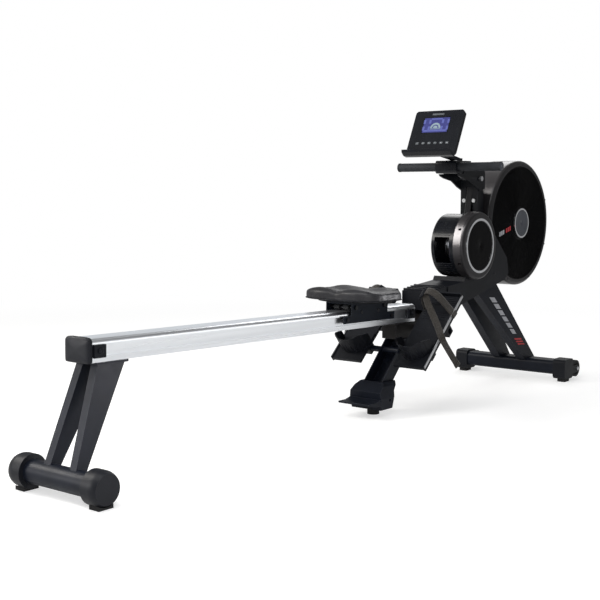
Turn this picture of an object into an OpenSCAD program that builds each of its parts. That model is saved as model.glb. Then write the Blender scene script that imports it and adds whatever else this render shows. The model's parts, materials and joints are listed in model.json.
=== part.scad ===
// Air rowing machine: sliding seat on a sloping aluminium rail, footplates on a raised
// front frame, and a strap-driven fan. Millimetres, +X towards the fan, +Z up.
// The origin is on the floor at the middle of the overall length and width.

/* [Overall] */
// Distance from the rear foot to the front stabiliser
foot_span = 2250; // [2248:1:2252]
// Downward slope of the rail towards the front, in degrees
rail_slope = 1.18; // [1.16:0.01:1.2]

/* [Rail] */
// Width of the rail
rail_w = 82; // [80:1:83]
// Height of the rail
rail_h = 57; // [56:0.5:58]
// Length of the rail
rail_len = 1408; // [1404:1:1410]

/* [Fan] */
// Outer radius of the fan housing
fan_r = 236; // [234:1:236]
// Width of the fan housing
fan_w = 120; // [120:1:122]
// Number of fan blades
fan_blades = 20; // [12:1:24]

/* [Drum] */
// Radius of the drum shell
drum_r = 112; // [111:1:113]
// Radius of the drum side cap
drum_cap_r = 121; // [120:1:122]

/* [Footplates] */
// Width of one footplate
plate_w = 120; // [116:1:122]
// Length of one footplate
plate_len = 316; // [312:1:318]
// Slope of the footplates in degrees
plate_slope = 42.6; // [42:0.1:43]

/* [Handle] */
// Half the length of the pull handle
handle_half = 208; // [200:1:215]
// Radius of the grips
grip_r = 15; // [14:0.5:16]

/* [Console] */
// Width of the console
console_w = 194; // [190:1:200]
// Height of the console
console_h = 168; // [164:1:170]

/* [Hidden] */
$fn = 64;

// Main stations along the machine
rear_cap_r = 43;
fan_back = 82;
guard_r = 215;
rear_x = (rear_cap_r + fan_back - foot_span - fan_r) / 2;
front_x = rear_x + foot_span;
fan_x = front_x - fan_back;
fan_z = 605;
drum_x = front_x - 440;
drum_z = 533;

// Rear foot
rear_tube_r = 30;
rear_tube_z = 48;
rear_tube_half = 140;
centre_foot_x = rear_x + 1286;
rear_cap_in = 112;
rear_cap_out = 160;

// Rail: underside height over the rear foot, and the stations of its ends
rail_z = 322;
rail_start = 60;
web_half = 33;
flange_h = 14;
crown_z = 41;

// Seat and carriage stations along the rail
seat_s = 1170;
carriage_s = 1192;
carriage_len = 196;
carriage_top = 82;
top_roller_r = 10;
low_roller_r = 9.5;

// Footplate heel point
heel_x = rear_x + 1302;
heel_z = 166;
heel_s = 28;
plate_inner = 65;
strap_s = 250;

// Belly line of the body cover
belly_x = rear_x + 1690;
belly_z = 318;
belly_slope = 12.4;

// Mast and drive
beam_half = 28;
mast_x = rear_x + 1887;
mast_d = 42;
mast_half = 35;
plate_in = 28;
plate_out = 32;
spool_r = 40;
guide_x = mast_x + 2;
guide_z = 796;
guide_r = 15;
belt_y0 = -46;
belt_w = 9;
drive_pulley_r = 70;
fan_pulley_r = 18;
strap_t = 2;

// Handle
handle_x = rear_x + 1743;
handle_z = 811;

// Console: lower front edge of its face and its lean
console_x = rear_x + 1611;
console_z = 853;
console_t = 18;
console_lean = 25.3;
hinge_x = 28;
hinge_z = 25;
key_pitch = 24;

// Front stabiliser
stab_z = 54;
stab_h = 56;
stab_half = 192;
cap_half = 238;
cap_z = 50;
cap_h = 76;
wheel_x = front_x + 78;
wheel_z = 42;
wheel_r = 32;

// Wall of the frame's box sections
wall = 3;

function belly_at(x) = belly_z + (x - belly_x) * tan(belly_slope);

// Outline moved inwards by d; its points run anticlockwise
function side_normal(p, q) = let (e = (q - p) / norm(q - p)) [-e[1], e[0]];
function inset(points, d) = let (n = len(points)) [for (i = [0:n - 1])
    let (a = side_normal(points[(i + n - 1) % n], points[i]), b = side_normal(points[i], points[(i + 1) % n]))
    points[i] + d * (a + b) / (1 + a * b)];

// ---------- shared shapes ----------

// Flat outline in X and Z, as a slab from y0 to y1
module side_slab(y0, y1) {
    translate([0, y1, 0]) rotate([90, 0, 0]) linear_extrude(y1 - y0) children();
}

// Flat outline in Y and Z, as a slab from x0 to x1
module front_slab(x0, x1) {
    translate([x0, 0, 0]) rotate([90, 0, 90]) linear_extrude(x1 - x0) children();
}

// Round bar along Y from y0 to y1
module y_bar(x, z, r, y0, y1) {
    translate([x, y1, z]) rotate([90, 0, 0]) cylinder(r = r, h = y1 - y0);
}

// Ring along Y
module y_ring(x, z, r_out, r_in, y0, y1) {
    translate([x, y1, z]) rotate([90, 0, 0]) linear_extrude(y1 - y0) difference() {
        circle(r_out);
        circle(r_in);
    }
}

// Turned shape about Y: the outline is drawn as radius and distance towards -Y
module y_turn(x, z) {
    translate([x, 0, z]) rotate([90, 0, 0]) rotate_extrude($fn = 128) children();
}

// The shape and its mirror image across the middle plane
module both_sides() {
    children();
    mirror([0, 1, 0]) children();
}

// Rectangle with round corners
module round_rect(w, h, r) {
    square([w - 2 * r, h], center = true);
    square([w, h - 2 * r], center = true);
    for (i = [-1, 1], j = [-1, 1]) translate([i * (w / 2 - r), j * (h / 2 - r)]) circle(r);
}

// Frame with its X axis along the rail and its origin on the rail's underside
module on_rail(s) {
    translate([rear_x, 0, rail_z]) rotate([0, rail_slope, 0]) translate([s, 0, 0]) children();
}

// Frame with its X axis up the footplate and its Z axis out of the plate
module on_plate() {
    translate([heel_x, 0, heel_z]) rotate([0, -plate_slope, 0]) children();
}

// Frame with its Z axis up the console face and its X axis into the console
module on_console() {
    translate([console_x, 0, console_z]) rotate([0, console_lean, 0]) children();
}

// ---------- rear end ----------

module rear_foot_cap() {
    straight = rear_cap_out - rear_cap_in - 22;
    translate([rear_x, 0, rear_tube_z]) rotate([-90, 0, 0]) rotate_extrude() difference() {
        union() {
            translate([0, rear_cap_in]) square([rear_cap_r, straight]);
            translate([0, rear_cap_in + straight - 0.1]) intersection() {
                circle(rear_cap_r);
                square([rear_cap_r, 22.1]);
            }
        }
        translate([0, rear_cap_in - 1]) square([rear_tube_r + 0.1, rear_tube_half - rear_cap_in + 1]);
    }
}

module rear_foot_caps() {
    color("#17181b") both_sides() rear_foot_cap();
}

module rear_pad() {
    difference() {
        translate([rear_x - 22, 119, 0]) cube([44, 34, 20]);
        y_bar(rear_x, rear_tube_z, rear_cap_r, 100, 170);
    }
}

module front_pad() {
    translate([front_x - 20, 200, 0]) cube([40, 30, cap_z - cap_h / 2]);
}

module floor_pads() {
    color("#101113") {
        both_sides() rear_pad();
        both_sides() front_pad();
        translate([centre_foot_x, 0, 0]) cylinder(r = 20, h = 22);
    }
}

// Box-section leg given by its outlines seen from the side and from the front
module box_leg(side_points, front_points, x0, x1) {
    difference() {
        intersection() {
            side_slab(0, 120) polygon(side_points);
            front_slab(x0, x1) polygon(front_points);
        }
        intersection() {
            side_slab(0, 120) polygon(inset(side_points, wall));
            front_slab(x0, x1) polygon(inset(front_points, wall));
        }
    }
}

module rear_leg() {
    difference() {
        box_leg([[rear_x - 14, 60], [rear_x + 20, 60], [rear_x + 168, 314], [rear_x + 82, 316]],
            [[38, 50], [60, 50], [38, 320], [14, 320]], rear_x - 60, rear_x + 200);
        y_bar(rear_x, rear_tube_z, rear_tube_r, 0, 120);
    }
}

module rear_frame() {
    color("#2b2f36") {
        y_ring(rear_x, rear_tube_z, rear_tube_r, rear_tube_r - 2.5, -rear_tube_half, rear_tube_half);
        both_sides() rear_leg();
        on_rail(125) translate([-50, -44, -6]) cube([100, 88, 6]);
    }
}

// ---------- rail ----------

module rail_outline() {
    translate([0, flange_h / 2]) square([rail_w, flange_h], center = true);
    translate([-web_half, flange_h - 1]) square([2 * web_half, crown_z - flange_h + 2]);
    intersection() {
        translate([-rail_w / 2, crown_z]) square([rail_w, rail_h - crown_z]);
        translate([0, rail_h / 2]) round_rect(rail_w, rail_h, 12.5);
    }
}

module rail() {
    color("#c9cdd2") on_rail(rail_start) difference() {
        front_slab(0, rail_len) rail_outline();
        for (i = [-1, 1]) translate([-1, i * 15 - 12.5, 4]) cube([rail_len + 2, 25, rail_h - 9]);
        // narrow groove along the outside of the lower flange
        for (i = [-1, 1]) translate([-1, i * rail_w / 2 - 1, 6]) cube([rail_len + 2, 2, 2]);
    }
}

module rail_rear_cap() {
    color("#141518") on_rail(rail_start - 8) {
        front_slab(0, 7.8) translate([0, rail_h / 2 + 1]) round_rect(rail_w + 6, rail_h + 5, 12);
        for (i = [-1, 1]) translate([7.8, i * 15 - 12, 5]) cube([18, 24, rail_h - 11]);
    }
}

module rail_stop(s) {
    on_rail(s) difference() {
        union() {
            translate([-18, web_half + 0.2, flange_h + 0.5]) cube([36, 8.4, crown_z - flange_h - 1]);
            translate([-18, rail_w / 2 + 0.3, flange_h - 2.5]) cube([36, 7, 32]);
        }
        y_bar(0, 27.5, 3, 0, 60);
    }
}

module rail_stops() {
    color("#0f1012") for (s = [rail_start + 22, rail_start + rail_len - 28]) both_sides() rail_stop(s);
}

// Screw with a round head that points towards +Y
module side_screw(x, y, z, r, len, head_r, head_h) {
    y_bar(x, z, r, y - len, y);
    y_bar(x, z, head_r, y, y + head_h);
}

module frame_bolts() {
    color("#b9bcc2") {
        for (s = [rail_start + 22, rail_start + rail_len - 28])
            both_sides() on_rail(s) side_screw(0, rail_w / 2 + 7.3, 27.5, 3, 14, 6, 3);
        both_sides() side_screw(mast_x + 1, 46, 771, 4, 46, 9, 6);
        // screws in the rear face of the mast
        for (y = [-20, 20]) translate([mast_x - 4, y, 692]) rotate([0, 90, 0]) {
            cylinder(r = 7, h = 4);
            cylinder(r = 4, h = 14);
        }
        both_sides() wheel_axle();
    }
}

// ---------- centre frame ----------

beam_points = [[rear_x + 1375, 238], [rear_x + 1480, 236], [belly_x + 30, belly_at(belly_x + 30) + 4],
    [rear_x + 2040, belly_at(rear_x + 2040) + 4], [rear_x + 2040, 470], [rear_x + 1950, 436],
    [rear_x + 1720, 386], [rear_x + 1520, 288], [rear_x + 1375, 289.5]];

module beam_outline() {
    polygon(beam_points);
}

upper_tube_x = rear_x + 1497;
upper_tube_z = 264;
// Lower cross tube, given in the footplate's frame
lower_s = 88;
lower_n = -38;
lower_tube_x = heel_x + lower_s * cos(plate_slope) - lower_n * sin(plate_slope);
lower_tube_z = heel_z + lower_s * sin(plate_slope) + lower_n * cos(plate_slope);

module main_beam() {
    color("#2a2622") {
        difference() {
            side_slab(-beam_half, beam_half) beam_outline();
            side_slab(wall - beam_half, beam_half - wall) polygon(inset(beam_points, wall));
            y_bar(fan_x, fan_z, fan_r + 1, -100, 100);
            y_bar(upper_tube_x, upper_tube_z, 10, -60, 60);
        }
        y_ring(upper_tube_x, upper_tube_z, 10, 8, -135, 135);
        // plate that the front of the rail is bolted to
        on_rail(1420) translate([-48, -38, -5.9]) cube([96, 76, 5.9]);
    }
}

module strut_outline(grow, rise = 0) {
    polygon([[rear_x + 1256 - grow, 80 - grow], [rear_x + 1322 + grow, 80 - grow],
        [rear_x + 1474 + grow, 235 + rise], [rear_x + 1408 - grow, 235.9 + rise]]);
}

module centre_strut() {
    color("#24211f") {
        difference() {
            side_slab(-36, 36) strut_outline(0);
            side_slab(wall - 36, 36 - wall) strut_outline(-1.4 * wall, 5);
            y_bar(lower_tube_x, lower_tube_z, 10, -60, 60);
        }
        y_ring(lower_tube_x, lower_tube_z, 10, 8, -135, 135);
    }
}

module centre_foot() {
    color("#2c2f35") difference() {
        union() {
            intersection() {
                side_slab(-62, 62) polygon([[rear_x + 1246, 22], [rear_x + 1312, 22],
                    [rear_x + 1320, 80], [rear_x + 1344, 108], [rear_x + 1276, 108],
                    [rear_x + 1238, 80]]);
                front_slab(rear_x + 1200, rear_x + 1400) polygon([[-58, 22], [-62, 60], [-56, 96],
                    [-46, 108], [46, 108], [56, 96], [62, 60], [58, 22]]);
            }
            // lip that reaches back over the floor
            side_slab(-60, 60) polygon([[rear_x + 1248, 34], [rear_x + 1176, 46], [rear_x + 1174, 52],
                [rear_x + 1212, 52], [rear_x + 1250, 60]]);
        }
        side_slab(-36.2, 36.2) strut_outline(0.2);
        for (i = [-1, 1]) y_bar(rear_x + 1294, 50, 5, i * 60 - 15, i * 60 + 15);
    }
}

// ---------- front end ----------

module front_leg() {
    difference() {
        box_leg([[rear_x + 2210, 76], [rear_x + 2294, 76],
            [rear_x + 2010, belly_at(rear_x + 2010) + 3.9], [rear_x + 1868, belly_at(rear_x + 1868) + 3.9]],
            [[38, 60], [72, 60], [44, 400], [14, 400]], rear_x + 1800, rear_x + 2400);
        stabiliser_core();
    }
}

module front_legs() {
    color("#2b2e36") both_sides() front_leg();
}

module stabiliser_core() {
    side_slab(-stab_half, stab_half) translate([front_x, stab_z]) round_rect(66, stab_h, 18);
}

module stabiliser_tube() {
    color("#26292f") difference() {
        stabiliser_core();
        side_slab(-stab_half - 1, stab_half + 1) translate([front_x, stab_z])
            round_rect(61, stab_h - 5, 15.5);
    }
}

module wheel_ear(y) {
    side_slab(y, y + 4) difference() {
        union() {
            translate([front_x + 30, wheel_z - 14]) square([wheel_x - front_x - 30, 28]);
            translate([wheel_x, wheel_z]) circle(14);
        }
        translate([wheel_x, wheel_z]) circle(4.1);
    }
}

module stabiliser_cap() {
    difference() {
        union() {
            side_slab(188, cap_half) translate([front_x, cap_z]) round_rect(74, cap_h, 16);
            wheel_ear(200);
            wheel_ear(232);
        }
        side_slab(180, stab_half + 0.2) translate([front_x, stab_z]) round_rect(66.2, stab_h + 0.2, 18);
    }
}

module stabiliser_caps() {
    color("#1b1c20") both_sides() stabiliser_cap();
}

module wheel_axle() {
    side_screw(wheel_x, 236.2, wheel_z, 4, 38, 7, 3);
}

module transport_wheel() {
    difference() {
        y_ring(wheel_x, wheel_z, wheel_r, 4.06, 205, 231);
        y_ring(wheel_x, wheel_z, 22, 10, 227, 232);
        y_ring(wheel_x, wheel_z, 22, 10, 204, 209);
    }
}

module wheel_left() {
    color("#121316") transport_wheel();
}

module wheel_right() {
    color("#121316") mirror([0, 1, 0]) transport_wheel();
}

// ---------- mast and body covers ----------

// Curved arm that carries the guide roller and the resting handle
module yoke_outline() {
    difference() {
        polygon([[mast_x + mast_d, 735], [mast_x + 12, 728], [mast_x - 20, 740], [mast_x - 62, 762],
            [mast_x - 118, 772], [mast_x - 140, 779], [mast_x - 146, 786], [mast_x - 112, 787.5],
            [mast_x - 104, 800], [mast_x - 100, 826], [mast_x - 60, 826], [mast_x - 48, 808],
            [mast_x - 8, 814], [mast_x + 16, 814], [mast_x + mast_d, 796]]);
        translate([mast_x + 1, 771]) circle(4);
        translate([guide_x, guide_z]) circle(4);
    }
}

// Plate behind the mast that holds the spool shaft's bearing
module bearing_plate_outline() {
    difference() {
        polygon([[mast_x, 452], [mast_x - 60, 474], [mast_x - 110, 500], [mast_x - 110, 566],
            [mast_x - 70, 600], [mast_x, 604]]);
        translate([drum_x, drum_z]) circle(15);
    }
}

module mast() {
    color("#1a1c1f") {
        difference() {
            translate([mast_x, -mast_half, 400]) cube([mast_d, 2 * mast_half, 366]);
            translate([mast_x + 3, -mast_half + 3, 399]) cube([mast_d - 6, 2 * mast_half - 6, 380]);
            // slot that lets the strap pass to the spool
            translate([mast_x - 1, -14, 520]) cube([6, 28, 220]);
            side_slab(-60, 60) beam_outline();
            side_slab(-60, 60) translate([mast_x - 20, 380]) square([100, 44]);
        }
        both_sides() side_slab(mast_half + 0.1, mast_half + 6) yoke_outline();
        both_sides() side_slab(plate_in, plate_out) bearing_plate_outline();
        // axle that the guide roller turns on
        y_bar(guide_x, guide_z, 4, -mast_half - 6, mast_half + 6);
    }
}

module cover_outline() {
    polygon([[belly_x - 45, belly_z - 10], [belly_x, belly_z], [rear_x + 2044, belly_at(rear_x + 2044)],
        [rear_x + 2076, 420], [rear_x + 2062, 478], [rear_x + 1975, 560], [rear_x + 1900, 590],
        [rear_x + 1800, 500], [rear_x + 1750, 408], [rear_x + 1640, 398]]);
}

module cover_inside() {
    polygon([[belly_x - 46, belly_z - 6.9], [belly_x, belly_z + 3.2],
        [rear_x + 2042, belly_at(rear_x + 2042) + 3.2], [rear_x + 2073, 421], [rear_x + 2060, 476],
        [rear_x + 1975, 556], [rear_x + 1900, 586], [rear_x + 1803, 497], [rear_x + 1752, 405],
        [rear_x + 1639, 395]]);
}

module cover_half() {
    difference() {
        side_slab(0.1, 65) cover_outline();
        side_slab(-1, 62) cover_inside();
        y_bar(fan_x, fan_z, fan_r + 0.8, -1, fan_w / 2 + 0.5);
        y_bar(drum_x, drum_z, drum_cap_r + 0.8, -1, 100);
        // openings for the beam, for the tops of the front legs and for the mast
        translate([belly_x - 50, -1, 290]) cube([90, beam_half + 1.5, 38]);
        translate([rear_x + 1860, -1, 340]) cube([166, 50, 60]);
        translate([mast_x - 10, -1, 430]) cube([mast_d + 11, mast_half + 2, 180]);
    }
}

module body_cover_left() {
    color("#1f2023") cover_half();
}

module body_cover_right() {
    color("#1f2023") mirror([0, 1, 0]) cover_half();
}

neck_x = rear_x + 1545;
neck_l = 93;

module neck_outline(inset) {
    polygon([[neck_x + inset, 318 - 3 * inset], [neck_x + inset, 384 - inset],
        [neck_x + neck_l + inset, 397 - inset], [neck_x + neck_l + inset, 318 - 3 * inset]]);
}

module neck_cover() {
    color("#26282c") difference() {
        union() {
            side_slab(-62, 62) neck_outline(0);
            for (i = [0:3]) translate([neck_x + 8 + i * 22, -62, 380 + i * 3]) cube([8, 124, 12]);
        }
        side_slab(-59, 59) neck_outline(3);
        side_slab(-beam_half - 1, beam_half + 1) polygon([[neck_x - 5, 300], [neck_x - 5, 318],
            [neck_x + neck_l + 5, 368], [neck_x + neck_l + 5, 300]]);
    }
}

// ---------- drum ----------

module drum_shell() {
    color("#1c1e22") difference() {
        y_turn(drum_x, drum_z) difference() {
            translate([0, -42]) square([drum_r, 92]);
            translate([-1, -39]) square([drum_r - 2, 86]);
            translate([-1, -60]) square([15, 130]);
        }
        // passage of the mast
        translate([mast_x - 4, -mast_half - 1, drum_z - 110]) cube([62, 2 * mast_half + 2, 230]);
        // passage of the belt towards the fan
        translate([drum_x + 40, belt_y0 - 0.9, drum_z - 78]) cube([100, 50, 170]);
        // passage of the strap in front of the mast
        translate([mast_x - 32, -14, drum_z + 70]) cube([40, 28, 50]);
        // window that faces the seat
        translate([drum_x - drum_r - 10, -30, 471]) cube([40, 60, 94]);
    }
}

module drum_cap() {
    color("#1a1c20") difference() {
        y_turn(drum_x, drum_z) difference() {
            union() {
                translate([0, 50.2]) square([drum_cap_r, 32]);
                translate([0, 82.2]) square([drum_cap_r - 10, 9.8]);
                translate([drum_cap_r - 10, 82.2]) intersection() {
                    circle(9.8);
                    square(10);
                }
            }
            translate([-1, 49]) square([drum_cap_r - 2, 33]);
            translate([89, 89]) square([8, 4]);
        }
        for (a = [30, 150, 210, 330]) translate([drum_x + 116 * cos(a), -70, drum_z + 116 * sin(a)])
            rotate([0, -a, 0]) translate([0, -6, -4]) cube([10, 12, 8]);
    }
}

module trim_rings() {
    color("#d5d8dc") {
        y_ring(drum_x, drum_z, 97, 89, -94, -89);
        both_sides() y_ring(fan_x, fan_z, 56, 50, fan_w / 2 + 3, fan_w / 2 + 9);
    }
}

// ---------- fan ----------

module fan_half() {
    difference() {
        y_turn(fan_x, fan_z) difference() {
            union() {
                translate([0, 0.1]) square([fan_r, fan_w / 2 - 12.1]);
                translate([0, fan_w / 2 - 14]) square([fan_r - 12, 14]);
                translate([fan_r - 12, fan_w / 2 - 12]) circle(12);
            }
            translate([-1, -1]) square([fan_r - 2, fan_w / 2 - 11]);
            translate([-1, -1]) square([guard_r + 1, fan_w]);
        }
        // slots for the fork arms and the belt
        translate([fan_x - 260, -fan_w / 2 + 3, 400]) cube([146, 30, 160]);
        translate([fan_x - 260, belt_y0 - 1, drum_z - 30]) cube([60, 12, 130]);
    }
}

module fan_housing_right() {
    color("#202227") fan_half();
}

module fan_housing_left() {
    color("#202227") mirror([0, 1, 0]) fan_half();
}

module fan_guard() {
    side_slab(fan_w / 2 - 3, fan_w / 2 - 1) translate([fan_x, fan_z]) {
        for (r = [60:12.5:210]) difference() {
            circle(r + 3);
            circle(r);
        }
        for (a = [0:30:330]) rotate(a) translate([50, -2]) square([guard_r - 50.5, 4]);
        difference() {
            circle(60);
            circle(17);
        }
    }
}

module fan_guards() {
    color("#15161a") both_sides() fan_guard();
}

module fan_hub_caps() {
    color("#33363c") both_sides() y_bar(fan_x, fan_z, 50, fan_w / 2 - 1, fan_w / 2 + 6);
}

module fan_fork() {
    side_slab(50.5, 54.5) difference() {
        union() {
            hull() {
                translate([fan_x, fan_z]) circle(34, $fn = 32);
                translate([rear_x + 2010, 428]) circle(24, $fn = 32);
            }
            translate([rear_x + 1920, 397]) square([90, 48]);
        }
        translate([fan_x, fan_z]) circle(15.1);
    }
    for (x = [1945, 1990]) y_bar(rear_x + x, 413, 10, beam_half + 0.1, 50.5);
}

module fan_forks() {
    color("#1d1f23") both_sides() fan_fork();
}

module shaft_bearings() {
    color("#9da1a7") {
        both_sides() y_ring(fan_x, fan_z, 15, 8.05, 50.5, 55.5);
        both_sides() y_ring(drum_x, drum_z, 15, 8.05, plate_in, plate_out);
    }
}

module fan_rotor() {
    color("#3a3d44") {
        y_ring(fan_x, fan_z, 190, 8, 40, 44);
        for (i = [0:fan_blades - 1]) translate([fan_x, 0, fan_z]) rotate([0, i * 360 / fan_blades, 0])
            translate([70, -28, -1.5]) cube([120, 70, 3]);
        y_ring(fan_x, fan_z, 185, 165, -30, -26);
        y_ring(fan_x, fan_z, 30, 8, -28, 41);
        y_bar(fan_x, fan_z, 8, -56, 56);
        y_ring(fan_x, fan_z, fan_pulley_r, 8, belt_y0 - 0.5, belt_y0 + belt_w + 0.5);
    }
}

// ---------- strap drive ----------

module belt_loop(extra) {
    hull() {
        translate([drum_x, drum_z]) circle(drive_pulley_r + extra);
        translate([fan_x, fan_z]) circle(fan_pulley_r + extra, $fn = 32);
    }
}

module drive_belt() {
    color("#0c0c0d") side_slab(belt_y0, belt_y0 + belt_w) difference() {
        belt_loop(3.2);
        belt_loop(0.3);
    }
}

module drive_pulley() {
    color("#4a4d52") difference() {
        union() {
            y_ring(drum_x, drum_z, drive_pulley_r, 8.05, belt_y0 - 0.5, belt_y0 + belt_w + 0.5);
            y_ring(drum_x, drum_z, 18, 8.05, belt_y0 + belt_w + 0.5, -plate_out - 0.5);
        }
        for (a = [0:60:300]) translate([drum_x, 0, drum_z]) rotate([0, a, 0])
            y_bar(42, 0, 14, belt_y0 - 5, belt_y0 + belt_w + 5);
    }
}

module spool() {
    color("#5a5d63") {
        y_ring(drum_x, drum_z, 52, 8, -19, -16);
        y_ring(drum_x, drum_z, 52, 8, 16, 19);
        y_ring(drum_x, drum_z, spool_r - 1.5, 8, -16, 16);
        y_bar(drum_x, drum_z, 8, -80, 36);
    }
}

spring_turns = 4;
function spring_point(a, r0) = let (r = r0 + 44 * a / (360 * spring_turns)) [r * cos(a), r * sin(a)];

module recoil_spring() {
    steps = [0:12:360 * spring_turns];
    back = [360 * spring_turns:-12:0];
    color("#8c9096") side_slab(-72, -60) translate([drum_x, drum_z])
        polygon(concat([for (a = steps) spring_point(a, 12)], [for (a = back) spring_point(a, 10.5)]));
}

module guide_roller() {
    color("#d9d9d6") difference() {
        union() {
            y_ring(guide_x, guide_z, guide_r, 4.05, -26, 26);
            for (y = [-26, 23]) y_ring(guide_x, guide_z, guide_r + 5, 4.05, y, y + 3);
        }
        y_ring(guide_x, guide_z, 12, 8, 22, 27);
    }
}

// Straight run of the strap, tangent to the front of the spool and of the guide roller
spool_touch = spool_r + 1;
guide_touch = guide_r + 0.3;
run_d = sqrt(pow(guide_x - drum_x, 2) + pow(guide_z - drum_z, 2));
run_normal = atan2(guide_z - drum_z, guide_x - drum_x) - 90 + asin((spool_touch - guide_touch) / run_d);

strap_bend = [for (i = [0:8]) run_normal + (90 - run_normal) * i / 8];

// One face of the strap, from the spool over the guide roller to the handle
function strap_face(off) = concat(
    [[drum_x + (spool_touch + off) * cos(run_normal), drum_z + (spool_touch + off) * sin(run_normal)]],
    [for (a = strap_bend) [guide_x + (guide_touch + off) * cos(a), guide_z + (guide_touch + off) * sin(a)]],
    [[handle_x + 24, guide_z + guide_touch + off]]);

module pull_strap() {
    inner = strap_face(0);
    outer = strap_face(strap_t);
    color("#2e2f31") side_slab(-12, 12)
        polygon(concat(inner, [for (i = [len(outer) - 1:-1:0]) outer[i]]));
}

// ---------- handle ----------

module handle_bar() {
    color("#3a3c40") y_ring(handle_x, handle_z, 11, 9, -handle_half + 3, handle_half - 3);
}

module handle_grip() {
    y_ring(handle_x, handle_z, grip_r, 11.1, 43, handle_half - 6);
    y_bar(handle_x, handle_z, grip_r + 1, handle_half - 3, handle_half);
    y_ring(handle_x, handle_z, grip_r + 1, 11.1, handle_half - 6, handle_half - 3);
}

module handle_grips() {
    color("#1b1c1e") both_sides() handle_grip();
}

module handle_hub() {
    color("#141517") difference() {
        union() {
            side_slab(-42, 42) translate([handle_x, handle_z]) round_rect(46, 46, 12);
            side_slab(-15, 15) translate([handle_x + 24, handle_z]) round_rect(20, 20, 4);
        }
        y_bar(handle_x, handle_z, 11.1, -50, 50);
        translate([handle_x + 23.8, -13, handle_z - 0.2]) cube([20, 26, strap_t + 1.5]);
    }
}

// ---------- console ----------

arm_foot_x = mast_x - 80;
arm_foot_z = 832;
hinge_px = console_x + hinge_x * cos(console_lean) + hinge_z * sin(console_lean);
hinge_pz = console_z - hinge_x * sin(console_lean) + hinge_z * cos(console_lean);

module console_arm() {
    color("#1d1e21") difference() {
        union() {
            side_slab(-13, 13) hull() {
                translate([hinge_px, hinge_pz]) circle(8, $fn = 32);
                translate([arm_foot_x - 12, arm_foot_z + 6]) circle(6, $fn = 32);
            }
            translate([arm_foot_x - 19, -mast_half - 6, 826]) cube([38, 2 * mast_half + 12, 7]);
            translate([arm_foot_x - 17, -13, 830]) cube([24, 26, 13]);
        }
        y_bar(hinge_px, hinge_pz, 4.05, -20, 20);
    }
}

module console_outline(margin) {
    translate([0, console_h / 2]) round_rect(console_w - 2 * margin, console_h - 2 * margin, 11);
}

function key_y(i) = (3.5 - i) * key_pitch;
key_zc = 42;
lcd_y = 4;
lcd_z = 112;
lcd_w = 104;
lcd_h = 60;

module console_front() {
    color("#17181c") on_console() difference() {
        union() {
            front_slab(0, 8) console_outline(0);
            // ledge for a phone or tablet
            side_slab(-console_w / 2, console_w / 2) polygon([[-26, -4], [-30, 4], [-27, 6],
                [-22, 1], [0, 3], [8, 3], [8, -7], [-10, -10]]);
        }
        front_slab(3, 9) console_outline(3);
        translate([-1, lcd_y - lcd_w / 2, lcd_z - lcd_h / 2]) cube([20, lcd_w, lcd_h]);
        for (i = [1:6]) translate([-1, key_y(i) - 6.4, key_zc - 4.4]) cube([20, 12.8, 8.8]);
    }
}

module console_back() {
    color("#141518") on_console() difference() {
        union() {
            front_slab(8.1, console_t) console_outline(1);
            for (y = [-18, 14]) side_slab(y, y + 4) hull() {
                translate([hinge_x, hinge_z]) circle(8, $fn = 32);
                translate([console_t, hinge_z + 14]) circle(4, $fn = 32);
                translate([console_t, hinge_z - 8]) circle(4, $fn = 32);
            }
            y_bar(hinge_x, hinge_z, 4, -18, 18);
        }
        front_slab(8, console_t - 3) console_outline(4);
    }
}

module console_display() {
    color("#2b3fa8") on_console() {
        translate([0.8, lcd_y - lcd_w / 2 + 0.2, lcd_z - lcd_h / 2 + 0.2]) cube([3, lcd_w - 0.4, lcd_h - 0.4]);
        // circuit board behind the face
        translate([11.5, -80, 20]) cube([2, 160, 132]);
        for (y = [-40, 44], z = [90, 132]) translate([3.8, y - 2, z - 2]) cube([7.7, 4, 4]);
    }
}

module console_key(i) {
    color("#e6e8ea") on_console() {
        front_slab(-1.4, 3) translate([key_y(i), key_zc]) round_rect(12, 8, 2.5);
        front_slab(3, 9) translate([key_y(i), key_zc]) round_rect(5, 5, 1);
    }
}

// ---------- footrest ----------

module footplate() {
    w = plate_w;
    on_plate() difference() {
        union() {
            translate([0, plate_inner, -10]) cube([plate_len, w, 10]);
            // raised outer edge
            translate([0, plate_inner + w - 5, -14]) cube([plate_len, 5, 18]);
            // toe stop
            translate([plate_len - 6, plate_inner, -10]) cube([6, w, 26]);
            // grip ribs
            for (i = [0:4]) translate([272 + i * 8, plate_inner + 4, -1]) cube([4, w - 12, 3.5]);
            // saddles over the two cross tubes
            translate([lower_s - 15, plate_inner + 15, lower_n - 15]) cube([30, w - 40, -9.5 - lower_n + 15]);
            translate([upper_s - 15, plate_inner + 15, upper_n - 15]) cube([30, w - 40, -9.5 - upper_n + 15]);
        }
        // slot that the strap comes up through
        translate([strap_s - 16, plate_inner + 5.5, -11]) cube([32, 3, 40]);
        translate([lower_s, 0, lower_n]) rotate([-90, 0, 0]) cylinder(r = 10.1, h = 400);
        translate([upper_s, 0, upper_n]) rotate([-90, 0, 0]) cylinder(r = 10.1, h = 400);
    }
}

// Place of the upper cross tube in the footplate's frame
upper_dx = upper_tube_x - heel_x;
upper_dz = upper_tube_z - heel_z;
upper_s = upper_dx * cos(plate_slope) + upper_dz * sin(plate_slope);
upper_n = -upper_dx * sin(plate_slope) + upper_dz * cos(plate_slope);

module footplates() {
    color("#2a2c31") both_sides() footplate();
}

// Heel cup outline: round at the back and open towards the toe
module heel_outline(inset) {
    r = plate_w / 2 - 4;
    translate([r, 0]) circle(r - inset);
    translate([r, inset - r]) square([60, 2 * (r - inset)]);
}

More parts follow.
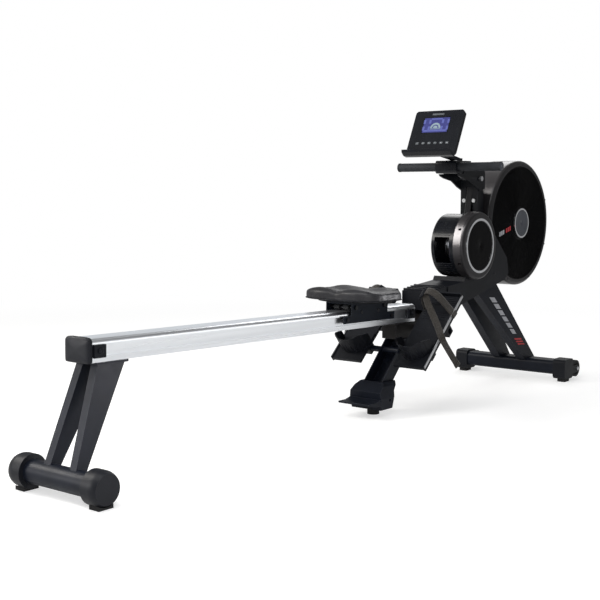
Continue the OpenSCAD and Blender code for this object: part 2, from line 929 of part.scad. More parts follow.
module heel_cup() {
    on_plate() translate([heel_s, plate_inner + plate_w / 2 - 3, 0.4]) difference() {
        linear_extrude(62) heel_outline(0);
        translate([0, 0, 4]) linear_extrude(60) heel_outline(4);
        // sides fall away towards the toe
        translate([30, -80, 62]) rotate([0, 38, 0]) cube([160, 160, 80]);
        translate([64, -80, 4]) cube([60, 160, 80]);
        translate([92, -80, -1]) cube([80, 160, 80]);
    }
}

module heel_cup_left() {
    color("#1e2024") heel_cup();
}

module heel_cup_right() {
    color("#1e2024") mirror([0, 1, 0]) heel_cup();
}

// Strap route in the footplate's frame: up from the slot, over the foot, across the outer
// edge, and down as a loose end. Each point is distance up the plate, across, and above it.
strap_route = [[250, 72, -14], [250, 72, 24], [246, 84, 54], [236, 110, 68], [214, 142, 54],
    [180, 168, 28], [146, 190, 10], [128, 204, -22], [112, 226, -86]];

module strap_piece(p, turn) {
    translate(p) rotate([turn, 0, 0]) cube([26, 1, 2.4], center = true);
}

module foot_strap() {
    turns = [90, 80, 45, -10, -35, -40, -50, -70, -74];
    on_plate() for (i = [0:len(strap_route) - 2]) hull() {
        strap_piece(strap_route[i], turns[i]);
        strap_piece(strap_route[i + 1], turns[i + 1]);
    }
}

module foot_straps() {
    color("#8d857c") both_sides() foot_strap();
}

// ---------- seat ----------

function super_point(a, rx, ry, e) = [rx * sign(cos(a)) * pow(abs(cos(a)), e),
    ry * sign(sin(a)) * pow(abs(sin(a)), e)];

module seat_outline(rx, ry) {
    polygon([for (a = [0:7.5:352.5]) super_point(a, rx, ry, 0.87)]);
}

module seat_pad() {
    color("#1a1b1d") on_rail(seat_s) translate([0, 0, carriage_top + 6]) linear_extrude(34)
        seat_outline(100, 142);
}

module seat_base() {
    color("#111214") on_rail(seat_s) translate([0, 0, carriage_top + 0.1]) linear_extrude(5.8)
        seat_outline(84, 118);
}

top_axle_n = rail_h + 0.3 + top_roller_r;
low_axle_n = crown_z - 0.3 - low_roller_r;
top_axle_off = 78;
low_axle_off = 120;

module carriage() {
    half = carriage_len / 2;
    color("#2e3136") on_rail(carriage_s) difference() {
        union() {
            translate([-half, -50, carriage_top - 4]) cube([carriage_len, 100, 4]);
            for (i = [-1, 1]) translate([-half, i * 48.5 - 1.5, 20]) cube([carriage_len, 3, carriage_top - 21]);
            for (i = [-1, 1], j = [-1, 1]) translate([j * (half + 18) - 22, i * 48.5 - 1.5, 20])
                cube([44, 3, 24]);
        }
        for (j = [-1, 1]) {
            y_bar(j * top_axle_off, top_axle_n, 4, -60, 60);
            y_bar(j * low_axle_off, low_axle_n, 3, -60, 60);
        }
    }
}

module roller_axles() {
    color("#a8abb0") on_rail(carriage_s) {
        for (j = [-1, 1]) {
            y_bar(j * top_axle_off, top_axle_n, 4, -53, 53);
            both_sides() y_bar(j * top_axle_off, top_axle_n, 7, 50.1, 55);
            both_sides() y_bar(j * low_axle_off, low_axle_n, 3, 34, 52);
            both_sides() y_bar(j * low_axle_off, low_axle_n, 6, 50.1, 54);
        }
    }
}

module top_rollers(side) {
    color("#d8d8d4") on_rail(carriage_s) both_sides()
        y_ring(side * top_axle_off, top_axle_n, top_roller_r, 4.05, 8, 27);
}

module low_rollers(side) {
    color("#cfcfca") on_rail(carriage_s) both_sides()
        y_ring(side * low_axle_off, low_axle_n, low_roller_r, 3.05, 34.5, 46);
}

rear_frame();
rear_foot_caps();
floor_pads();
rail();
rail_rear_cap();
rail_stops();
frame_bolts();
main_beam();
centre_strut();
centre_foot();
front_legs();
stabiliser_tube();
stabiliser_caps();
mast();
body_cover_left();
body_cover_right();
neck_cover();
drum_shell();
drum_cap();
trim_rings();
fan_housing_left();
fan_housing_right();
fan_guards();
fan_hub_caps();
fan_forks();
shaft_bearings();
recoil_spring();
drive_belt();
footplates();
foot_straps();
console_arm();
seat_pad();
seat_base();
carriage();
roller_axles();
top_rollers(1);  // top_rollers_front
top_rollers(-1);  // top_rollers_rear
low_rollers(1);  // low_rollers_front
low_rollers(-1);  // low_rollers_rear
handle_bar();
handle_grips();
handle_hub();
pull_strap();
spool();
drive_pulley();
fan_rotor();
guide_roller();
wheel_left();
wheel_right();
heel_cup_left();
heel_cup_right();
console_front();
console_back();
console_display();
console_key(1);  // key_1
console_key(2);  // key_2
console_key(3);  // key_3
console_key(4);  // key_4
console_key(5);  // key_5
console_key(6);  // key_6
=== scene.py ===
import bpy
import json
import math
from mathutils import Matrix, Vector


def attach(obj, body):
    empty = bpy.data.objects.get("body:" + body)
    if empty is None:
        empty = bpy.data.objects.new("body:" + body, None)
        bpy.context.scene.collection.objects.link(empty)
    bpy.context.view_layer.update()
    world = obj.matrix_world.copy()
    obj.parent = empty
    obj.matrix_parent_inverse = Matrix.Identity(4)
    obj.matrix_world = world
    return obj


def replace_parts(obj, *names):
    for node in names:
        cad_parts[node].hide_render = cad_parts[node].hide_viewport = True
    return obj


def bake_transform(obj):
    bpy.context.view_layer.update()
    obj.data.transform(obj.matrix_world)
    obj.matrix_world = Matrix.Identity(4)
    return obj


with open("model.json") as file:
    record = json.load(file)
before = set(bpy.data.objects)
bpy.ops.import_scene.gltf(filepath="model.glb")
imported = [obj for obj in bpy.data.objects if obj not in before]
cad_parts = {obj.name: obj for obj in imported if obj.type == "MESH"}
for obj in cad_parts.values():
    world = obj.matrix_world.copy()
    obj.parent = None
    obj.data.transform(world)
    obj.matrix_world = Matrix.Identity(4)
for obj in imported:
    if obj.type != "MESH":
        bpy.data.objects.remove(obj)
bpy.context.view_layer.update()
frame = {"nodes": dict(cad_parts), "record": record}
NODES = frame["nodes"]

# ---------------------------------------------------------------- stations, in metres
REAR_X = -1.1805
FAN = Vector((REAR_X + 2.168, 0, 0.605))
DRUM = Vector((REAR_X + 1.810, 0, 0.533))
MAST_X = REAR_X + 1.887
GUIDE = Vector((MAST_X + 0.002, 0, 0.796))
HANDLE = Vector((REAR_X + 1.743, 0, 0.811))
PLATE_SLOPE = math.radians(42.6)
HEEL = Vector((REAR_X + 1.302, 0, 0.166))
PLATE_IN, PLATE_OUT = 0.065, 0.185
PLATE_NORMAL = Vector((-math.sin(PLATE_SLOPE), 0, math.cos(PLATE_SLOPE)))
RAIL_SLOPE = math.radians(1.18)
RAIL_Z = 0.322
SEAT_S = 1.170
SEAT_BOTTOM, SEAT_THICK = 0.088, 0.034
CARRIAGE_S = 1.192
CAP_S = 0.052
CONSOLE = Vector((REAR_X + 1.611, 0, 0.853))
CONSOLE_LEAN = math.radians(25.3)
CONSOLE_IN = Vector((math.cos(CONSOLE_LEAN), 0, -math.sin(CONSOLE_LEAN)))
LCD_Y, LCD_Z, LCD_W, LCD_H = 0.004, 0.112, 0.104, 0.060
FAN_FACE_Y = 0.058
GUARD_IN, GUARD_OUT = 0.060, 0.2135
# middle of the fan shroud's wall: at its rim, and at its side faces
SHROUD_MIDDLE_R, SHROUD_MIDDLE_Y = 0.2345, 0.0545
SIDES = ((1, "left"), (-1, "right"))
LABEL = dict(SIDES)
Y_AXIS = Vector((0, 1, 0))
FULL_TURN = 2 * math.pi


def radial(angle):
    """Unit vector at an angle about Y, from +X towards +Z."""
    return Vector((math.cos(angle), 0, math.sin(angle)))


def on_plate(s, y, n):
    """Point s up the footplate and n off its top."""
    return HEEL + Vector((s * math.cos(PLATE_SLOPE) - n * math.sin(PLATE_SLOPE), y,
                          s * math.sin(PLATE_SLOPE) + n * math.cos(PLATE_SLOPE)))


def on_rail(s, y, n):
    """Point s along the rail from its rear and n above its underside."""
    return Vector((REAR_X + s * math.cos(RAIL_SLOPE) + n * math.sin(RAIL_SLOPE), y,
                   RAIL_Z - s * math.sin(RAIL_SLOPE) + n * math.cos(RAIL_SLOPE)))


def on_console(x, y, z):
    """Point in the console's own axes: -x out of its face, z up the face."""
    return CONSOLE + Vector((x * math.cos(CONSOLE_LEAN) + z * math.sin(CONSOLE_LEAN), y,
                             -x * math.sin(CONSOLE_LEAN) + z * math.cos(CONSOLE_LEAN)))


# ---------------------------------------------------------------- camera, lights, backdrop
CAMERA_PLACE = (REAR_X - 1.64956, -2.04164, 0.72788)
CAMERA_AIM = Vector((0.7769, 0.6218, -0.0986))
LENS_MM, SENSOR_MM = 66.2, 36
# how bright the white backdrop and floor are as lights, where 1 is how they are seen
BACKDROP_AS_LIGHT, FLOOR_AS_LIGHT = 0.27, 0.35

scene = bpy.context.scene
cam_data = bpy.data.cameras.new("camera")
cam_data.lens = LENS_MM
cam_data.sensor_width = SENSOR_MM
cam = bpy.data.objects.new("camera", cam_data)
scene.collection.objects.link(cam)
cam.location = CAMERA_PLACE
cam.rotation_euler = CAMERA_AIM.to_track_quat("-Z", "Y").to_euler()
scene.camera = cam
scene.view_settings.view_transform = "Standard"


def area_light(name, place, target, size, power, tint=(1, 1, 1), shape=1.0, only=()):
    """Soft light from place towards target; only names the CAD nodes that it lights."""
    data = bpy.data.lights.new(name, "AREA")
    data.shape = "RECTANGLE"
    data.size, data.size_y = size, size * shape
    data.energy = power
    data.color = tint
    lamp = bpy.data.objects.new(name, data)
    lamp.location = place
    lamp.rotation_euler = (Vector(target) - Vector(place)).to_track_quat("-Z", "Y").to_euler()
    lamp.visible_camera = False
    scene.collection.objects.link(lamp)
    if only:
        lit = bpy.data.collections.new(name + "_lit")
        for node_name in only:
            lit.objects.link(NODES[node_name])
        lamp.light_linking.receiver_collection = lit


area_light("key", (-1.6, -0.2, 3.2), (-0.3, 0, 0.4), 2.2, 62)
area_light("side", (-2.1, -1.4, 0.9), (-1.15, 0, 0.25), 0.8, 14)
area_light("fill", (1.2, -3.2, 1.6), (0.6, 0, 0.5), 1.6, 2.5)
area_light("left", (-1.75, 2.10, 2.0), (0.63, 0, 0.53), 1.2, 60, (1, 0.97, 0.92))
area_light("accent", (-0.33, 0.70, 1.28), (0.63, 0, 0.53), 0.6, 76, (1, 0.96, 0.92), 2.4,
           ("drum_cap", "fan_housing_left", "fan_housing_right"))
area_light("rail_side", (1.3, -2.2, 0.65), (-0.3, 0, 0.33), 2.4, 13, (1, 1, 0.985), 0.5, ("rail",))
area_light("rim", (3.0, 1.2, 2.4), (0.8, 0, 0.5), 1.6, 24)
area_light("rail_top", (1.5, 2.2, 1.0), (-1.0, 0, 0.35), 2.4, 5, (0.90, 0.95, 1), 0.4, ("rail",))
area_light("leg_side", (0.7, -1.75, 0.45), (-1.15, -0.1, 0.25), 0.9, 24, (1, 0.97, 0.98), 0.6,
           ("rear_frame", "rear_foot_caps"))
area_light("rear_end", (-2.75, 1.25, 0.7), (-1.2, 0, 0.25), 0.7, 24, (1, 0.98, 0.98), 1.0,
           ("rear_frame", "rear_foot_caps", "rail_rear_cap"))
area_light("seat_side", (1.5, -1.5, 0.5), (-0.05, -0.1, 0.38), 0.9, 26, (0.98, 0.98, 1), 0.6, ("seat_pad",))

world = bpy.data.worlds.new("studio")
scene.world = world
world.use_nodes = True
wt = world.node_tree
sky = wt.nodes["Background"]
sky.inputs["Color"].default_value = (1, 1, 1, 1)
# the backdrop is white where it is seen and dimmer as a light
rays = wt.nodes.new("ShaderNodeLightPath")
level = wt.nodes.new("ShaderNodeMapRange")
level.inputs["To Min"].default_value = BACKDROP_AS_LIGHT
level.inputs["To Max"].default_value = 1.0
wt.links.new(rays.outputs["Is Camera Ray"], level.inputs["Value"])
wt.links.new(level.outputs["Result"], sky.inputs["Strength"])


# ---------------------------------------------------------------- materials
class Mat:
    """A principled material with helpers for its procedural detail."""

    def __init__(self, name, color, rough, metal=0.0, coat=0.0, specular=0.5):
        self.m = bpy.data.materials.new(name)
        self.m.use_nodes = True
        self.t = self.m.node_tree
        self.p = self.t.nodes["Principled BSDF"]
        self.p.inputs["Base Color"].default_value = (*color, 1)
        self.p.inputs["Roughness"].default_value = rough
        self.p.inputs["Metallic"].default_value = metal
        self.p.inputs["Coat Weight"].default_value = coat
        self.p.inputs["Specular IOR Level"].default_value = specular
        self.color, self.rough = color, rough
        self.normal = None

    def node(self, kind, **props):
        n = self.t.nodes.new(kind)
        for k, v in props.items():
            setattr(n, k, v)
        return n

    def link(self, a, b):
        self.t.links.new(a, b)

    def calc(self, operation, *values):
        """Output of a math node; each value is a number or another node's output."""
        n = self.node("ShaderNodeMath", operation=operation)
        for socket, value in zip(n.inputs, values):
            if isinstance(value, (int, float)):
                socket.default_value = value
            else:
                self.link(value, socket)
        return n.outputs["Value"]

    def between(self, fac, low, high):
        """Maps 0 to 1 onto low to high."""
        n = self.node("ShaderNodeMapRange")
        n.inputs["To Min"].default_value = low
        n.inputs["To Max"].default_value = high
        self.link(fac, n.inputs["Value"])
        return n.outputs["Result"]

    def mix(self, fac, a, b):
        """Mixes two colours; each is (r, g, b) or a node's output."""
        n = self.node("ShaderNodeMix", data_type="RGBA")
        sockets = [i for i in n.inputs if i.enabled]
        self.link(fac, sockets[0])
        for socket, color in zip(sockets[1:], (a, b)):
            if isinstance(color, tuple):
                socket.default_value = (*color, 1)
            else:
                self.link(color, socket)
        return [o for o in n.outputs if o.enabled][0]

    def coords(self, scale=(1, 1, 1), space="Object"):
        tc = self.node("ShaderNodeTexCoord")
        mp = self.node("ShaderNodeMapping")
        mp.inputs["Scale"].default_value = scale
        self.link(tc.outputs[space], mp.inputs["Vector"])
        return mp.outputs["Vector"]

    def noise(self, scale, detail=3.0, stretch=(1, 1, 1)):
        n = self.node("ShaderNodeTexNoise")
        n.inputs["Scale"].default_value = scale
        n.inputs["Detail"].default_value = detail
        self.link(self.coords(stretch), n.inputs["Vector"])
        return n.outputs["Fac"]

    def ramp(self, fac, stops):
        r = self.node("ShaderNodeValToRGB")
        while len(r.color_ramp.elements) < len(stops):
            r.color_ramp.elements.new(0.5)
        for e, (pos, col) in zip(r.color_ramp.elements, stops):
            e.position = pos
            e.color = (*col, 1) if len(col) == 3 else col
        self.link(fac, r.inputs["Fac"])
        return r.outputs["Color"]

    def mottle(self, amount, scale, stretch=(1, 1, 1)):
        lo = tuple(c * (1 - amount) for c in self.color)
        hi = tuple(min(1, c * (1 + amount)) for c in self.color)
        col = self.ramp(self.noise(scale, 4, stretch), [(0.32, lo), (0.68, hi)])
        self.link(col, self.p.inputs["Base Color"])
        self.base = col
        return self

    def worn_edges(self, color, radius=0.0012):
        """Lightens the paint along sharp edges."""
        soft = self.node("ShaderNodeBevel", samples=4)
        soft.inputs["Radius"].default_value = radius
        geo = self.node("ShaderNodeNewGeometry")
        dot = self.node("ShaderNodeVectorMath", operation="DOT_PRODUCT")
        self.link(soft.outputs["Normal"], dot.inputs[0])
        self.link(geo.outputs["Normal"], dot.inputs[1])
        edge = self.ramp(dot.outputs["Value"], [(0.86, (1, 1, 1)), (0.99, (0, 0, 0))])
        self.link(self.mix(edge, self.base, color), self.p.inputs["Base Color"])
        return self

    def gloss(self, amount, scale, stretch=(1, 1, 1)):
        low, high = max(0.02, self.rough - amount), min(1, self.rough + amount)
        self.link(self.between(self.noise(scale, 3, stretch), low, high), self.p.inputs["Roughness"])
        return self

    def bump(self, height, strength, distance):
        b = self.node("ShaderNodeBump")
        b.inputs["Strength"].default_value = strength
        b.inputs["Distance"].default_value = distance
        self.link(height, b.inputs["Height"])
        if self.normal is not None:
            self.link(self.normal, b.inputs["Normal"])
        self.normal = b.outputs["Normal"]
        self.link(self.normal, self.p.inputs["Normal"])
        return self

    def grain(self, scale, strength, distance=0.0004, stretch=(1, 1, 1)):
        return self.bump(self.noise(scale, 2, stretch), strength, distance)

    def cells(self, scale, strength, distance=0.0004):
        v = self.node("ShaderNodeTexVoronoi")
        v.inputs["Scale"].default_value = scale
        self.link(self.coords(), v.inputs["Vector"])
        return self.bump(v.outputs["Distance"], strength, distance)


POWDER_SPECULAR, PLASTIC_SPECULAR = 0.16, 0.18


def powder(name, color, rough=0.42, edge=(0.05, 0.055, 0.066)):
    return (Mat(name, color, rough, 0.0, 0.0, POWDER_SPECULAR).mottle(0.18, 14).worn_edges(edge)
            .gloss(0.07, 30).grain(900, 0.28, 0.0003).grain(60, 0.08, 0.0006))


def plastic(name, color, rough, coat=0.0, grain=1400, strength=0.2):
    edge = tuple(1.8 * c + 0.006 for c in color)
    return (Mat(name, color, rough, 0, coat, PLASTIC_SPECULAR).mottle(0.15, 11).worn_edges(edge)
            .gloss(0.05, 24).grain(grain, strength, 0.0002))


def webbing(name, color, thread_u, thread_v):
    w = Mat(name, color, 0.88, 0, 0, 0.3)
    w.p.inputs["Sheen Weight"].default_value = 0.25
    uv = w.coords((1, 1, 1), "UV")
    heights = []
    for axis, pitch in (("X", thread_u), ("Y", thread_v)):
        wave = w.node("ShaderNodeTexWave", wave_type="BANDS", bands_direction=axis, wave_profile="SIN")
        wave.inputs["Scale"].default_value = pitch
        wave.inputs["Distortion"].default_value = 0.4
        w.link(uv, wave.inputs["Vector"])
        heights.append(wave.outputs["Fac"])
    weave = w.calc("MULTIPLY", *heights)
    dark = tuple(c * 0.55 for c in color)
    lite = tuple(min(1, c * 1.3) for c in color)
    w.link(w.ramp(weave, [(0.0, dark), (0.7, lite)]), w.p.inputs["Base Color"])
    return w.bump(weave, 0.7, 0.0006)


def brushed(name, color, rough, stretch, depth=0.12):
    return (Mat(name, color, rough, 1.0).mottle(0.06, 60, stretch).gloss(0.09, 90, stretch)
            .grain(140, depth, 0.0002, stretch))


def glowing(name, color, strength):
    g = Mat(name, tuple(c * 0.5 for c in color), 0.25)
    col = g.ramp(g.noise(120), [(0.3, tuple(c * 0.75 for c in color)), (0.7, color)])
    g.link(col, g.p.inputs["Emission Color"])
    g.p.inputs["Emission Strength"].default_value = strength
    return g


M = {
    "frame_paint": powder("frame_paint", (0.0065, 0.0085, 0.0145)),
    "beam_paint": powder("beam_paint", (0.0095, 0.0085, 0.0085), 0.45),
    "mast_paint": powder("mast_paint", (0.005, 0.006, 0.008), 0.4),
    "black_plastic": plastic("black_plastic", (0.007, 0.008, 0.011), 0.46),
    "gloss_plastic": plastic("gloss_plastic", (0.006, 0.007, 0.010), 0.28, 0.1, 700, 0.06),
    "shroud": (Mat("shroud", (0.026, 0.025, 0.027), 0.30, 0.60, 0.05).mottle(0.10, 9).gloss(0.04, 30)
               .grain(1000, 0.08, 0.0002)),
    "rubber": (Mat("rubber", (0.012, 0.012, 0.013), 0.85).mottle(0.3, 30).gloss(0.08, 50)
               .grain(700, 0.4, 0.0004)),
    "grip_foam": (Mat("grip_foam", (0.011, 0.0135, 0.018), 0.7).mottle(0.25, 40).gloss(0.08, 60)
                  .cells(1500, 0.35, 0.0003)),
    "rail_metal": brushed("rail_metal", (0.74, 0.76, 0.79), 0.30, (0.02, 1, 1)),
    "steel": brushed("steel", (0.58, 0.59, 0.61), 0.32, (1, 0.1, 1)),
    "dark_steel": brushed("dark_steel", (0.045, 0.046, 0.05), 0.34, (1, 0.1, 1)),
    "carriage_paint": powder("carriage_paint", (0.007, 0.010, 0.016), 0.38),
    "trim": brushed("trim", (0.86, 0.87, 0.90), 0.20, (1, 0.1, 1), 0.05),
    "guard_wire": (Mat("guard_wire", (0.0025, 0.0025, 0.003), 0.55, 0, 0, 0.08).mottle(0.2, 20)
                   .gloss(0.06, 30).grain(900, 0.2, 0.0002)),
    "hub_cap": plastic("hub_cap", (0.060, 0.066, 0.080), 0.32, 0.2, 900, 0.1),
    "fan_blade": plastic("fan_blade", (0.010, 0.010, 0.012), 0.6),
    "roller_plastic": plastic("roller_plastic", (0.028, 0.029, 0.031), 0.4, 0, 900, 0.1),
    "foot_webbing": webbing("foot_webbing", (0.036, 0.031, 0.026), 420, 520),
    "pull_webbing": webbing("pull_webbing", (0.020, 0.020, 0.022), 420, 520),
    "seat_skin": (Mat("seat_skin", (0.0135, 0.0135, 0.0168), 0.50, 0, 0.04, 0.4).mottle(0.16, 9)
                  .gloss(0.07, 16).cells(620, 0.16, 0.0004).grain(90, 0.08, 0.0006)),
    "display": plastic("display", (0.012, 0.014, 0.03), 0.12, 0.6, 600, 0.02),
    "key_white": plastic("key_white", (0.10, 0.11, 0.12), 0.4, 0, 900, 0.08),
    "pale_ink": Mat("pale_ink", (0.42, 0.43, 0.46), 0.5).mottle(0.08, 50).grain(900, 0.1, 0.0002),
    "red_ink": Mat("red_ink", (0.50, 0.022, 0.030), 0.5).mottle(0.12, 50).grain(900, 0.1, 0.0002),
    "screen_blue": glowing("screen_blue", (0.034, 0.038, 0.17), 0.9),
    "screen_violet": glowing("screen_violet", (0.085, 0.10, 0.31), 0.9),
    "screen_white": glowing("screen_white", (0.22, 0.29, 0.33), 0.9),
}


FAN_SHROUD_METAL, FAN_SHROUD_COAT, DULL = 0.5, 0.05, 0.9


def fan_shroud():
    """The shroud's finish outside; inside the fan housing it is dull, and its colour is painted near-black as
    shade.
    """
    w = Mat("fan_shroud", M["shroud"].color, M["shroud"].rough, FAN_SHROUD_METAL, FAN_SHROUD_COAT)
    w.mottle(0.10, 9).grain(1000, 0.08, 0.0002)
    place = w.node("ShaderNodeSeparateXYZ")
    w.link(w.coords(), place.inputs["Vector"])
    from_axis = [w.calc("POWER", w.calc("SUBTRACT", place.outputs[axis], centre), 2)
                 for axis, centre in (("X", FAN.x), ("Z", FAN.z))]
    rim = w.calc("GREATER_THAN", w.calc("ADD", *from_axis), SHROUD_MIDDLE_R ** 2)
    wall = w.calc("GREATER_THAN", w.calc("ABSOLUTE", place.outputs["Y"]), SHROUD_MIDDLE_Y)
    outside = w.calc("MAXIMUM", rim, wall)
    for socket, inside, outer in (("Metallic", 0.0, FAN_SHROUD_METAL), ("Roughness", DULL, w.rough),
                                  ("Coat Weight", 0.0, FAN_SHROUD_COAT)):
        w.link(w.between(outside, inside, outer), w.p.inputs[socket])
    # painted shade: inside the housing the colour is near-black instead of the shroud's own
    w.link(w.mix(outside, (0.004, 0.004, 0.005), w.base), w.p.inputs["Base Color"])
    return w


M["fan_shroud"] = fan_shroud()
# each CAD node gets its slot's material, and a few get another finish
record_slots = {e["node"]: e["material_slot"] for e in frame["record"]["subparts"]}
FINISH = {"drum_cap": "shroud", "fan_housing_left": "fan_shroud", "fan_housing_right": "fan_shroud",
          "roller_axles": "dark_steel"}
for node_name, obj in NODES.items():
    finish = M[FINISH.get(node_name, record_slots[node_name])].m
    if obj.material_slots:
        for ms in obj.material_slots:
            ms.material = finish
    else:
        obj.data.materials.append(finish)


# ---------------------------------------------------------------- mesh helpers
def add_mesh(name, verts, faces, mat, body, uvs=None, smooth=True):
    me = bpy.data.meshes.new(name)
    me.from_pydata([tuple(v) for v in verts], [], faces)
    if uvs is not None:
        layer = me.uv_layers.new(name="UVMap")
        for loop in me.loops:
            layer.data[loop.index].uv = uvs[loop.vertex_index]
    for p in me.polygons:
        p.use_smooth = smooth
    me.materials.append(M[mat].m)
    me.update()
    ob = bpy.data.objects.new(name, me)
    scene.collection.objects.link(ob)
    if body:
        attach(ob, body)
    return ob


def bevel(ob, width, segments=2, angle=35):
    b = ob.modifiers.new("bevel", "BEVEL")
    b.width = width
    b.segments = segments
    b.limit_method = "ANGLE"
    b.angle_limit = math.radians(angle)


def quads(rows, n, first=0, outward=True):
    """Faces that join rows of n vertices, each row a closed loop."""
    starts = range(first, first + (rows - 1) * n, n)
    pairs = [(row + k, row + (k + 1) % n) for row in starts for k in range(n)]
    return [(a, b, b + n, a + n) if outward else (a, a + n, b + n, b) for a, b in pairs]


class Parts:
    """Collects vertices and faces of several shapes for one object."""

    def __init__(self):
        self.v, self.f = [], []

    def add(self, verts, faces):
        k = len(self.v)
        self.v += [Vector(p) for p in verts]
        self.f += [tuple(i + k for i in f) for f in faces]

    def tube(self, points, radius, sides=6, closed=False):
        n = len(points)
        verts = []
        for i, p in enumerate(points):
            a = points[(i - 1) % n] if closed or i else points[i]
            b = points[(i + 1) % n] if closed or i < n - 1 else points[i]
            d = (b - a).normalized()
            up = Y_AXIS if abs(d.y) < 0.9 else Vector((0, 0, 1))
            u = d.cross(up).normalized()
            w = u.cross(d).normalized()
            for k in range(sides):
                t = FULL_TURN * k / sides
                verts.append(p + u * radius * math.cos(t) + w * radius * math.sin(t))
        faces = []
        last = n if closed else n - 1
        for i in range(last):
            for k in range(sides):
                a, b = i * sides + k, i * sides + (k + 1) % sides
                c, d = ((i + 1) % n) * sides + (k + 1) % sides, ((i + 1) % n) * sides + k
                faces.append((a, b, c, d))
        if not closed:
            faces.append(tuple(range(sides))[::-1])
            faces.append(tuple((n - 1) * sides + k for k in range(sides)))
        self.add(verts, faces)

    def ring(self, centre, y, radius, wire, segments=112, sides=6):
        middle = centre + Y_AXIS * y
        pts = [middle + radial(FULL_TURN * i / segments) * radius for i in range(segments)]
        self.tube(pts, wire, sides, closed=True)

    def lathe(self, centre, profile, segments=96, closed=True):
        """Turns (radius, y) points about Y. The profile is a loop when closed."""
        n = len(profile)
        verts = [centre + Y_AXIS * y + radial(FULL_TURN * i / segments) * r
                 for i in range(segments) for r, y in profile]
        faces = []
        for i in range(segments):
            j = (i + 1) % segments
            for k in range(n if closed else n - 1):
                m = (k + 1) % n
                faces.append((i * n + k, i * n + m, j * n + m, j * n + k))
        self.add(verts, faces)

    def slab(self, corners, thick):
        """Flat outline given as points, thickened along the vector thick."""
        n = len(corners)
        verts = list(corners) + [c + thick for c in corners]
        faces = [tuple(range(n))[::-1], tuple(range(n, 2 * n))]
        faces += [(i, (i + 1) % n, n + (i + 1) % n, n + i) for i in range(n)]
        self.add(verts, faces)

    def screw(self, place, axis, head=0.006, height=0.003):
        """Button-head screw with a six-sided socket; axis points out of the surface."""
        axis = axis.normalized()
        u = axis.cross(Vector((0.3, 0.4, 0.87))).normalized()
        w = axis.cross(u)
        n = 24
        # radius, height and whether the loop is the socket's hexagon
        loops = [(head, 0, False), (head, height * 0.45, False), (head * 0.8, height * 0.85, False),
                 (head * 0.55, height, False), (head * 0.5, height, True), (head * 0.48, height * 0.35, True)]
        verts = []
        for r, h, hexagon in loops:
            for k in range(n):
                t = FULL_TURN * k / n
                rr = r
                if hexagon:
                    rr = r * math.cos(math.pi / 6) / math.cos((t % (math.pi / 3)) - math.pi / 6)
                verts.append(place + axis * h + u * rr * math.cos(t) + w * rr * math.sin(t))
        faces = quads(len(loops), n)
        faces.append(tuple(range((len(loops) - 1) * n, len(loops) * n)))
        faces.append(tuple(range(n))[::-1])
        self.add(verts, faces)

    def make(self, name, mat, body, slot=None, smooth=True):
        return add_mesh(name, self.v, self.f, mat, body, None, smooth)


def mirrored(points, side):
    """The points on the left, or mirrored to the right when side is -1."""
    return [Vector((p.x, p.y * side, p.z)) for p in points]


def smooth_path(points, steps):
    """Catmull-Rom curve through the points."""
    out = []
    for i in range(len(points) - 1):
        p0, p1 = points[max(i - 1, 0)], points[i]
        p2, p3 = points[i + 1], points[min(i + 2, len(points) - 1)]
        for k in range(steps):
            t = k / steps
            out.append(0.5 * ((2 * p1) + (p2 - p0) * t + (2 * p0 - 5 * p1 + 4 * p2 - p3) * t * t
                              + (3 * p1 - p0 - 3 * p2 + p3) * t * t * t))
    out.append(points[-1])
    return out


def ribbon(name, path, sides, width, thick, mat, body, across=8):
    """Webbing along a path; sides holds the direction across the strap at each point."""
    profile = [(-0.5 + k / across, 0.5) for k in range(across + 1)]
    profile += [(0.5 - k / across, -0.5) for k in range(across + 1)]
    n = len(profile)
    verts, uvs, run = [], [], 0.0
    for i, p in enumerate(path):
        if i:
            run += (p - path[i - 1]).length
        t = (path[min(i + 1, len(path) - 1)] - path[max(i - 1, 0)]).normalized()
        s = (sides[i] - t * sides[i].dot(t)).normalized()
        nrm = t.cross(s).normalized()
        for a, b in profile:
            round_off = 1 - 0.55 * max(0.0, abs(a) * 2 - 0.86) / 0.14
            verts.append(p + s * a * width + nrm * b * thick * round_off)
            uvs.append((run * 10, a * width * 10))
    faces = quads(len(path), n, outward=False)
    faces.append(tuple(range(n)))
    faces.append(tuple((len(path) - 1) * n + k for k in range(n))[::-1])
    return add_mesh(name, verts, faces, mat, body, uvs)


def freeze(ob):
    """Replaces an object's mesh by its evaluated mesh and clears its modifiers."""
    deps = bpy.context.evaluated_depsgraph_get()
    deps.update()
    new = bpy.data.meshes.new_from_object(ob.evaluated_get(deps))
    ob.modifiers.clear()
    ob.data = new


# ---------------------------------------------------------------- seat cushion
def lobes(x, y):
    """Height added to the seat's top: a raised rim and thigh lobes, a dish in the middle."""
    rim = max(0.0, (abs(x) ** 2.4 + abs(y) ** 2.4) ** (1 / 2.4) - 0.45) / 0.55
    dish = -0.008 * math.exp(-((x + 0.05) ** 2 + (abs(y) - 0.42) ** 2 * 2.2) * 4.5)
    rear = 0.0075 * math.exp(-((x + 0.72) / 0.30) ** 2 - ((abs(y) - 0.50) / 0.34) ** 2)
    front = 0.0065 * math.exp(-((x - 0.66) / 0.30) ** 2 - ((abs(y) - 0.58) / 0.30) ** 2)
    groove = -0.006 * math.exp(-(y / 0.12) ** 2) * (0.4 + 0.6 * max(0.0, -x))
    return dish + rear + front + groove - 0.004 * rim ** 3


SEAT_ORIGIN, SEAT_TURN = on_rail(SEAT_S, 0, SEAT_BOTTOM), Matrix.Rotation(RAIL_SLOPE, 3, "Y")
SEAT_HALF_X, SEAT_HALF_Y = 0.1045, 0.1465
# 1 gives an ellipse and 0 a rectangle
SEAT_ROUNDNESS = 0.58
EDGE_DROP = 0.0025


